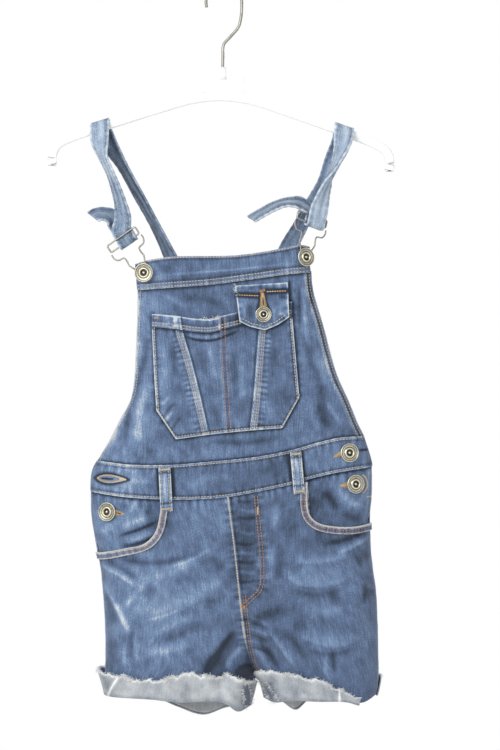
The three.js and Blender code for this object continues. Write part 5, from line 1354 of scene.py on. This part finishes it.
panel("bib_pocket_flap_fold", patch(straight([(11, -304), (63.7, -300.5)]), flap_foot,
                                    straight([(11, -304), (15.5, -340)]), straight([(63.7, -300.5), (65.2, -335.5)])),
      flap, 0.8, (denim, denim_reverse), ["bib_pocket_flap"])
add_stitching("bib_pocket_flap_bars", *[(flap, bar, 2.5, 2.5, 1.3) for bar in flap_bars], thread=gold_thread)
add_stitching("bib_pocket_flap_stitching",
              (flap, line_of(straight([(18, -337), (27, -341.6), (40.8, -345), (53, -339.6), (62, -333)]), 40)))
end_points, end_out, *_ = cloth_at(flap, np.linspace(11, 14, 40), np.linspace(-304, -315, 40))
fringe_piece("bib_pocket_flap_fraying", [fray(end_points, end_out, 50, 2.4, 43, 0.2)])


# Bib clips: a loop of bent spring wire over each bib button, hung from a two-bar wire slide on the strap.
clip_reach = 40.0
clip_half_width = 17.0
slide_height = 8.0
slide_wire = 1.8
shank_length = 4.4
wire_radius = 0.8
eye_radius = 5.4
wire_half = [(18.2, slide_height / 2 + 2.2), (18.2, 10.5), (15.5, 14.6), (9.3, 16), (8.6, 21), (9, 25), (6.4, 31.5),
             (5.4, 36)]


def unit(vector):
    return vector / np.linalg.norm(vector)


clips = {}
for side, button_x, button_z, lean in (("left", -78.8, -290.8, 33), ("right", 78.6, -275.4, -11.5)):
    point, normal = (a[0] for a in surface(front, np.array([button_x]), np.array([button_z])))
    seat = point + normal * (band_thickness / 2 + seam_gap)
    down_x, down_z = math.sin(math.radians(lean)), -math.cos(math.radians(lean))
    down = unit(np.array([down_x, -(normal[0] * down_x + normal[2] * down_z) / normal[1], down_z]))
    hold = seat + normal * shank_length / 2
    clips[side] = dict(seat=seat, out=normal, down=down, across=unit(np.cross(normal, down)),
                       slide=hold - down * clip_reach)


def in_clip(clip, across, down, out=0.0):
    return clip["slide"] + clip["across"] * across + clip["down"] * down + clip["out"] * out


for side, clip in clips.items():
    route = [in_clip(clip, a, d) for a, d in wire_half]
    for k in range(1, 8):
        angle = math.pi * k / 8
        route.append(in_clip(clip, eye_radius * math.cos(angle), clip_reach - 0.4 + eye_radius * math.sin(angle)))
    route += [in_clip(clip, -a, d) for a, d in wire_half[::-1]]
    wire = bmesh.new()
    sweep(wire, catmull(route)(np.linspace(0, 1, 170)), oval(2 * wire_radius, 2 * wire_radius, 10), clip["out"])
    wire = place(f"clip_loop_{side}", finished(wire, f"clip_loop_{side}"), bright_wire)
    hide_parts(f"clip_wire_{side}")
    w, h, r = clip_half_width + 0.3, slide_height / 2, 1.6
    ring = []
    for cx, cz, start in ((w - r, h - r, 0), (-w + r, h - r, 90), (-w + r, -h + r, 180), (w - r, -h + r, 270)):
        ring += [(cx + r * math.cos(math.radians(start + a)), cz + r * math.sin(math.radians(start + a)))
                 for a in (0, 22.5, 45, 67.5, 90)]
        if start in (0, 180):
            ring += [(cx + (-2 * (w - r) if start == 0 else 2 * (w - r)) * s, cz + (r if start == 0 else -r))
                     for s in np.linspace(0.08, 0.92, 8)]
    slide = bmesh.new()
    sweep(slide, [in_clip(clip, a, d) for a, d in ring], oval(slide_wire, slide_wire, 10), clip["out"], True)
    slide = place(f"clip_bars_{side}", finished(slide, f"clip_bars_{side}"), bright_wire)
    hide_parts(f"clip_slide_{side}")


# Straps: folded strips of the same denim, washed paler, stitched along both edges.
# Each runs from the back bib over the hanger's arm, round its clip's slide and out to a free end.
strap_width = 20.0
strap_thickness = 2.0
strap_denim = woven_denim("washed_strap_denim", ["#3c4859", "#667992", "#9aabc0", "#c4d0dc", "#eef1f3"], 0.5, 0.4, 0.5)


def across_of(lean, turn):
    lean, turn = math.radians(lean), math.radians(turn)
    return np.array([math.cos(turn) * math.cos(lean), -math.sin(turn), math.cos(turn) * math.sin(lean)])


def strap_row(x, z, y, lean, turn):
    return np.array([x, y, z], float), across_of(lean, turn)


tilt = np.array([[math.cos(hanger_tilt), 0, math.sin(hanger_tilt)], [0, 1, 0], [-math.sin(hanger_tilt), 0, math.cos(hanger_tilt)]])
arm_fine = arm_line(np.linspace(0, 1, 2001)) @ tilt.T
round_arm = arm_thickness / 2 + seam_gap + strap_thickness / 2 + 0.6


def over_arm(x, slope):
    middle = arm_fine[np.argmin(abs(arm_fine[:, 0] - x)), 2]
    rise = arm_height / 2 / math.cos(math.radians(19)) + seam_gap + strap_thickness / 2
    return [strap_row(x, middle + rise * math.sin(math.radians(a)), -round_arm * math.cos(math.radians(a)), slope, 0)
            for a in (150, 115, 90, 65, 30)]


def round_slide(clip, shift, behind_top_bar, flip):
    turn_r = 1.4 * (slide_wire / 2) + 3 * seam_gap + strap_thickness / 2
    coming = ([(-9, -turn_r), (-4, -turn_r), (-0.6, -0.9), (1.6, 1.7)] if behind_top_bar
              else [(-10, turn_r), (-4, turn_r), (1, turn_r)])
    going = ([(0, -turn_r - 1.2), (-4, -2 * turn_r + 0.2), (-9, -2 * turn_r)] if behind_top_bar
             else [(0, -turn_r), (-6, -turn_r)])
    turned = [(slide_height / 2 + turn_r * math.sin(math.radians(a)), turn_r * math.cos(math.radians(a)))
              for a in (15, 50, 90, 135, 180)]
    return [(in_clip(clip, shift, d, o), clip["across"] * flip) for d, o in coming + turned + going]


def sewn_on(x, z, lean):
    point, normal = (a[0] for a in surface(back, np.array([x]), np.array([z])))
    point = point + normal * (cloth_thickness / 2 + seam_gap + strap_thickness / 2 + 0.3)
    return strap_row(point[0], point[2], point[1], lean, 0)


def strap(side, rows, shades):
    path = catmull([p for p, _ in rows])
    ways = catmull([a for _, a in rows], centripetal=False)
    total = np.linalg.norm(np.diff(path(np.linspace(0, 1, 800)), axis=0), axis=1).sum()
    columns, steps = 14, round(total / 1.6)
    mesh, u, v = grid_mesh(f"strap_{side}_strip", columns, steps)
    shares = np.linspace(0, 1, steps + 1)
    centre = path(shares)
    tangent = path(np.minimum(shares + 0.0005, 1)) - path(np.maximum(shares - 0.0005, 0))
    tangent /= np.linalg.norm(tangent, axis=1, keepdims=True)
    across = ways(shares)
    across -= tangent * (across * tangent).sum(axis=1, keepdims=True)
    across /= np.linalg.norm(across, axis=1, keepdims=True)
    out = np.cross(tangent, across)
    row = np.rint(v * steps).astype(int)
    travelled = np.r_[0, np.cumsum(np.linalg.norm(np.diff(centre, axis=0), axis=1))]
    off = (u - 0.5) * strap_width
    edge = strap_width / 2 - abs(off)
    ripple = np.cos(travelled[row] / 1.15 + 1.2 * np.sin(travelled[row] / 9))
    sink = 0.35 * np.exp(-(((edge - 3.2) / 1.1) ** 2))
    height = 0.18 * ripple * np.exp(-((edge / 3.5) ** 2)) - sink
    points = centre[row] + across[row] * off[:, None] + out[row] * height[:, None]
    # Fold lines run along it, painted as pale and dark streaks of light and shade with no folds in the shape
    painted_fold_streaks = np.sin(off / 1.7 + 1.8 * np.sin(travelled[row] / 31)) * (0.7 + 0.3 * np.sin(travelled[row] / 13))
    # pale worn edges; painted light on the ripples' rises, painted shade in their dips and along the sunk stitch rows
    tone = 0.5 * np.exp(-((edge / 1.0) ** 2)) + 0.2 * ripple * np.exp(-((edge / 3.5) ** 2)) - 0.9 * sink
    tone = tone + 0.28 * painted_fold_streaks
    # stretches given in shares of the strap: the part behind the hanger is painted into shade, the others made darker
    # or lighter
    for start, end, shade_of in shades:
        share = v
        tone = tone + shade_of * soft_step((share - start) / 0.03 + 0.5) * soft_step((end - share) / 0.03 + 0.5)
    lay(mesh, points, tone, columns, steps, False)
    piece = place(mesh.name, mesh, strap_denim)
    as_sheet(piece, [f"strap_{side}"], strap_thickness)
    # Two rows of stitching show on both faces of the folded strip
    spots = np.arange(4, travelled[-1] - 3, 3.6)
    outs = rows_across(np.stack([np.interp(spots, travelled, out[:, k]) for k in range(3)], 1))
    sizes = np.tile([2.5, 0.7, 0.5], (len(spots), 1))
    stitches = []
    for face_of in (1, -1):
        for offset in (-strap_width / 2 + 3.2, strap_width / 2 - 3.2):
            line = centre + across * offset
            before, middle, after = (np.stack([np.interp(spots + d, travelled, line[:, k]) for k in range(3)], 1)
                                     for d in (-1.3, 0, 1.3))
            lifted = middle + outs * face_of * (strap_thickness / 2 - 0.05)
            stitches.append(np.hstack([lifted, after - before, outs * face_of, sizes]))
    return thread_piece(f"strap_{side}_stitching", stitches, strap_thread)


# The straps' thread is the same, washed to a pale grey tan.
strap_thread = sewing_thread("faded_topstitching_thread", ["#5f6570", "#85868a", "#a39f98", "#b9b2a8"])

# The back part of each strap is painted into shade; further stretches are darker or lighter as listed
strap("left", [
    sewn_on(-10, -384, 24), sewn_on(-16, -370, 24),
    *[strap_row(*r) for r in ((-22, -352, 19.5, 25, 8), (-54.5, -274, 18, 26, 52), (-70.5, -241, 17, 26, 64),
                              (-87.5, -210, 15, 26, 62), (-104, -180, 12, 24, 60), (-118, -157, 7.5, 20, 30))],
    *over_arm(-125.5, 17.5),
    *[strap_row(*r) for r in ((-125, -157, -9.5, 12, 25), (-121.5, -174, -9.5, 14, 64), (-114.5, -190, -10.5, 15, 68),
                              (-108.5, -206, -11, 18, 62), (-103.8, -222, -11, 22, 52), (-101.8, -236, -10.5, 28, 30))],
    *round_slide(clips["left"], 3, True, 1),
    *[strap_row(*r) for r in ((-108, -240, 0, 42, -14), (-112.5, -234.5, 0, 60, -34), (-119, -231.5, -2.5, 82, -46),
                              (-126, -231.5, -6, 98, -50), (-131.5, -234, -9.5, 110, -50))],
], [(0.0, 0.26, -0.65), (0.44, 0.72, -0.3), (0.84, 1.0, -0.3)])
strap("right", [
    sewn_on(14, -384, -24), sewn_on(20, -370, -24),
    *[strap_row(*r) for r in ((26, -352, 19.5, -27, 5), (65, -264, 18, -29, 30), (76.5, -243, 17, -29, 44),
                              (88, -220, 15, -28, 54), (101, -197, 12, -26, 54), (110, -176, 10.5, -24, 34),
                              (117.5, -160, 9.5, -21, 8))],
    *over_arm(121, -19.7),
    *[strap_row(*r) for r in ((119, -160, -11.5, -18, 34), (115, -172, -11, -18, 58), (109.3, -187, -9.5, -19, 80),
                              (104.4, -200, -9, -19, 110), (99.5, -213, -9, -19, 128))],
    *round_slide(clips["right"], 4, False, -1),
    *[strap_row(*r) for r in ((80, -221.5, 3, 205, 44), (71.5, -219, 0, 235, 56), (61, -219.5, -3, 262, 62),
                              (50, -223.5, -6, 282, 62), (39, -229.5, -9, 294, 62), (27.5, -236.5, -12, 300, 62))],
], [(0.0, 0.27, -0.5), (0.52, 0.72, 0.1), (0.8, 1.0, -0.3)])


# Buttons: stamped brass jeans buttons with a rolled rim, a dished face and a riveted stud in the middle.
button_radius = 9.5
flap_button_radius = 8.0

# Antique brass over nickel: yellowish grey metal, dark in its grooves and rubbed bright on its rims.
aged_brass, tree, shader = new_material("antique_brass", Metallic=1.0, Roughness=0.38)
where = add_node(tree, "ShaderNodeTexCoord", {})
tarnish = add_node(tree, "ShaderNodeTexNoise", {"Scale": 420.0, "Detail": 5.0}, {"Vector": where.outputs["Object"]})
pits = add_node(tree, "ShaderNodeTexNoise", {"Scale": 1500.0, "Detail": 2.0}, {"Vector": where.outputs["Object"]})
grooves = add_node(tree, "ShaderNodeAttribute", {"attribute_name": "rub"})
mixed = add_node(tree, "ShaderNodeMath", {"operation": "MULTIPLY_ADD", 1: 0.45},
                 {0: tarnish.outputs["Fac"], 2: grooves.outputs["Fac"]})
ramp = ramp_node(tree, ["#26221a", "#5c5647", "#938e7b", "#dad8c8"], mixed.outputs[0])
dull = add_node(tree, "ShaderNodeMapRange", {"To Min": 0.25, "To Max": 0.6}, {"Value": tarnish.outputs["Fac"]})
relief = add_node(tree, "ShaderNodeBump", {"Strength": 0.2, "Distance": 0.0002}, {"Height": pits.outputs["Fac"]})
tree.links.new(ramp.outputs["Color"], shader.inputs["Base Color"])
tree.links.new(dull.outputs[0], shader.inputs["Roughness"])
tree.links.new(relief.outputs[0], shader.inputs["Normal"])


def button(name, node, seat, out, radius, shank):
    s = radius / button_radius
    # radius, height above the shank, and how bright it is rubbed
    profile = [(0, 0, 0.1), (3.4, 0, 0.1), (3.6, shank * 0.5, 0.1), (3.6, shank, 0.1), (8.3, shank, 0.2),
               (9.1, shank + 0.3, 0.4), (9.5, shank + 1.0, 0.6), (9.4, shank + 1.8, 0.8), (9.0, shank + 2.3, 0.9),
               (8.6, shank + 2.2, 0.6), (8.2, shank + 1.7, 0.25), (7.4, shank + 1.5, 0.5), (6.4, shank + 1.7, 0.6),
               (5.9, shank + 1.3, 0.15), (5.4, shank + 1.7, 0.4), (4.9, shank + 2.5, 0.9), (4.3, shank + 2.8, 1.0),
               (3.7, shank + 2.5, 0.8), (3.2, shank + 1.4, 0.1), (2.7, shank + 1.0, -0.1), (1.7, shank + 1.0, -0.1),
               (1.4, shank + 1.7, 0.4), (0.9, shank + 2.3, 0.9), (0, shank + 2.5, 1.0)]
    turned = bmesh.new()
    verts = [turned.verts.new((r * s * mm, 0, h * mm)) for r, h, _ in profile]
    lines_of = [turned.edges.new(pair) for pair in zip(verts, verts[1:])]
    bmesh.ops.spin(turned, geom=verts + lines_of, cent=(0, 0, 0), axis=(0, 0, 1), dvec=(0, 0, 0),
                   angle=2 * math.pi, steps=36, use_merge=True, use_duplicate=False)
    bmesh.ops.remove_doubles(turned, verts=turned.verts[:], dist=1e-6)
    bmesh.ops.recalc_face_normals(turned, faces=turned.faces[:])
    mesh = finished(turned, name)
    rub = []
    for vert in mesh.vertices:
        r, h = math.hypot(vert.co.x, vert.co.y) / mm / s, vert.co.z / mm
        rub.append(min(profile, key=lambda p: (p[0] - r) ** 2 + (p[1] - h) ** 2)[2])
    mesh.attributes.new("rub", "FLOAT", "POINT").data.foreach_set("value", rub)
    mesh.transform(Matrix.Translation(Vector(seat) * mm) @ Vector(out).to_track_quat("Z", "Y").to_matrix().to_4x4())
    piece = place(name, mesh, aged_brass)
    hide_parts(node)


def seat_on(cloth, x, z, above):
    point, normal, *_ = cloth_at(cloth, np.array([float(x)]), np.array([float(z)]), above)
    return point[0], normal[0]


for side, clip in clips.items():
    button(f"bib_button_{side}", f"button_bib_{side}", clip["seat"], clip["out"], button_radius, shank_length)
button("flap_button", "button_flap", *seat_on(flap, 39.5, -333, cloth_thickness / 2 + 0.2), flap_button_radius, 0.5)
button("waist_button_right", "button_waist_right", *seat_on(band_cloth, 124.5, -471, band_thickness / 2 + 0.1),
       button_radius, 0.5)
button("side_button_right", "button_side_right", *seat_on(side_cloth, 131.5, -502, cloth_thickness / 2 + 0.3),
       button_radius, 0.5)
button("side_button_left", "button_side_left", *seat_on(side_cloth, -116.7, -529.6, cloth_thickness / 2 + 0.3),
       button_radius, 0.5)


# Buttonholes and bar tacks: dense satin stitch in tan thread round each keyhole, and across the ends of seams.
# Painted shadow: a dark sheet in each buttonhole slit, faintly speckled, where the cloth beneath lies in shade.
slit_dark, tree, shader = new_material("buttonhole_shadow", Roughness=1.0)
where = add_node(tree, "ShaderNodeTexCoord", {})
shade_speckle = add_node(tree, "ShaderNodeTexNoise", {"Scale": 700.0, "Detail": 2.0}, {"Vector": where.outputs["Object"]})
ramp = ramp_node(tree, ["#1b2330", "#33405a"], shade_speckle.outputs["Fac"])
tree.links.new(ramp.outputs["Color"], shader.inputs["Base Color"])


def tack(cloth, start, end, length=2.4):
    return satin(cloth, [start, end], length, length)


tan_holes = [satin(band_cloth, waist_hole, 2.4, 2.4), tack(shorts_front, (33.6, -524.5), (33.9, -532.5)),
             tack(hem_cloth, (-69, -336), (-65, -336)), tack(side_cloth, (143, -515), (147, -515)),
             satin(side_cloth, [(131.5 + 12 * math.cos(a), -502 + 12 * math.sin(a)) for a in np.linspace(-0.9, 0.9, 12)], 3, 3)]
for side, (top_x, top_z), (low_x, low_z), width in loop_rows:
    on_loop = new_cloth(front, [], 2.7, thickness=1.6)
    for x, z in ((top_x, top_z - 2), (low_x, low_z + 2.4)):
        tan_holes.append(tack(on_loop, (x - width / 2 + 1, z), (x + width / 2 - 1, z + 0.8), 2.6))
thread_piece("buttonhole_tan_stitching", tan_holes, tan_thread)
gold_holes = [satin(band_cloth, [(-104, -497.1), (-97, -497.6)], 4.4, 1.6), satin(side_cloth, [(-109, -530.2), (-99.5, -531.6)], 8, 2),
              satin(flap, [(39.6, -328), (38.4, -311)], 10, 4), satin(side_cloth, [(124, -502.6), (115.5, -503.6)], 8, 2),
              satin(band_cloth, [(118, -471.3), (109, -475)], 7.5, 2)]
thread_piece("buttonhole_gold_stitching", gold_holes, gold_thread)
rust_holes = [tack(flap, (35.5, -310), (41.5, -308), 3.4), tack(shorts_front, (17.5, -624.6), (21.5, -623.4), 4.5)]
thread_piece("buttonhole_rust_stitching", rust_holes, rust_thread)
# painted shadow sheets laid in the slits
slits = [stitches_at(cloth, x, z, way_x, way_z, length, width, above, 0.5)
         for cloth, x, z, way_x, way_z, length, width, above in (
             (band_cloth, -116, -496.6, 1, -0.04, 15, 2.4, 0.1), (flap, 39.1, -320, 0.07, -1, 9, 1.3, 0.6),
             (side_cloth, -105, -530.8, 1, -0.14, 6, 1.2, 0.6), (band_cloth, 140, -468.4, 1, 0.04, 12, 1.2, 0.3))]
thread_piece("buttonhole_slits", slits, slit_dark)


# Studio: the camera of the photograph, a pale floor far below, and large soft lights.
camera = bpy.data.objects.new("camera", bpy.data.cameras.new("camera"))
bpy.context.collection.objects.link(camera)
camera.location = (0.026, -2.4, -0.393)
camera.rotation_euler = (math.radians(90), 0, 0)
camera.data.lens = 114.24
camera.data.sensor_width = 36
camera.data.clip_end = 50
bpy.context.scene.camera = camera

floor_paint, tree, shader = new_material("matt_white_floor", Roughness=0.9)
where = add_node(tree, "ShaderNodeTexCoord", {})
mottle = add_node(tree, "ShaderNodeTexNoise", {"Scale": 3.0, "Detail": 3.0}, {"Vector": where.outputs["Object"]})
ramp = ramp_node(tree, ["#eeeeec", "#f6f6f4"], mottle.outputs["Fac"])
tree.links.new(ramp.outputs["Color"], shader.inputs["Base Color"])
ground = bmesh.new()
bmesh.ops.create_circle(ground, cap_ends=True, segments=96, radius=5.0, matrix=Matrix.Translation((0, 0, -1.65)))
ground = bpy.data.objects.new("floor", finished(ground, "floor"))
ground.data.materials.append(floor_paint)
bpy.context.collection.objects.link(ground)

for name, spot, size, power in (("key", (-1.5, -2.2, 0.7), 1.8, 58.0), ("fill", (1.9, -2.0, -0.2), 1.8, 13.0),
                                ("rear", (0.6, 2.4, 0.8), 1.8, 30.0)):
    lamp = bpy.data.lights.new(name, "AREA")
    lamp.energy, lamp.size = power, size
    lamp = bpy.data.objects.new(name, lamp)
    bpy.context.collection.objects.link(lamp)
    lamp.location = spot
    lamp.rotation_euler = (Vector(spot) - Vector((0, 0, -0.42))).to_track_quat("Z", "Y").to_euler()

world = bpy.data.worlds.new("studio")
bpy.context.scene.world = world
world.use_nodes = True
tree = world.node_tree
seen = add_node(tree, "ShaderNodeLightPath", {})
level = add_node(tree, "ShaderNodeMapRange", {"To Min": 0.55, "To Max": 1.0}, {"Value": seen.outputs["Is Camera Ray"]})
tree.nodes["Background"].inputs["Color"].default_value = (1, 1, 1, 1)
tree.links.new(level.outputs[0], tree.nodes["Background"].inputs["Strength"])
bpy.context.scene.view_settings.view_transform = "Standard"
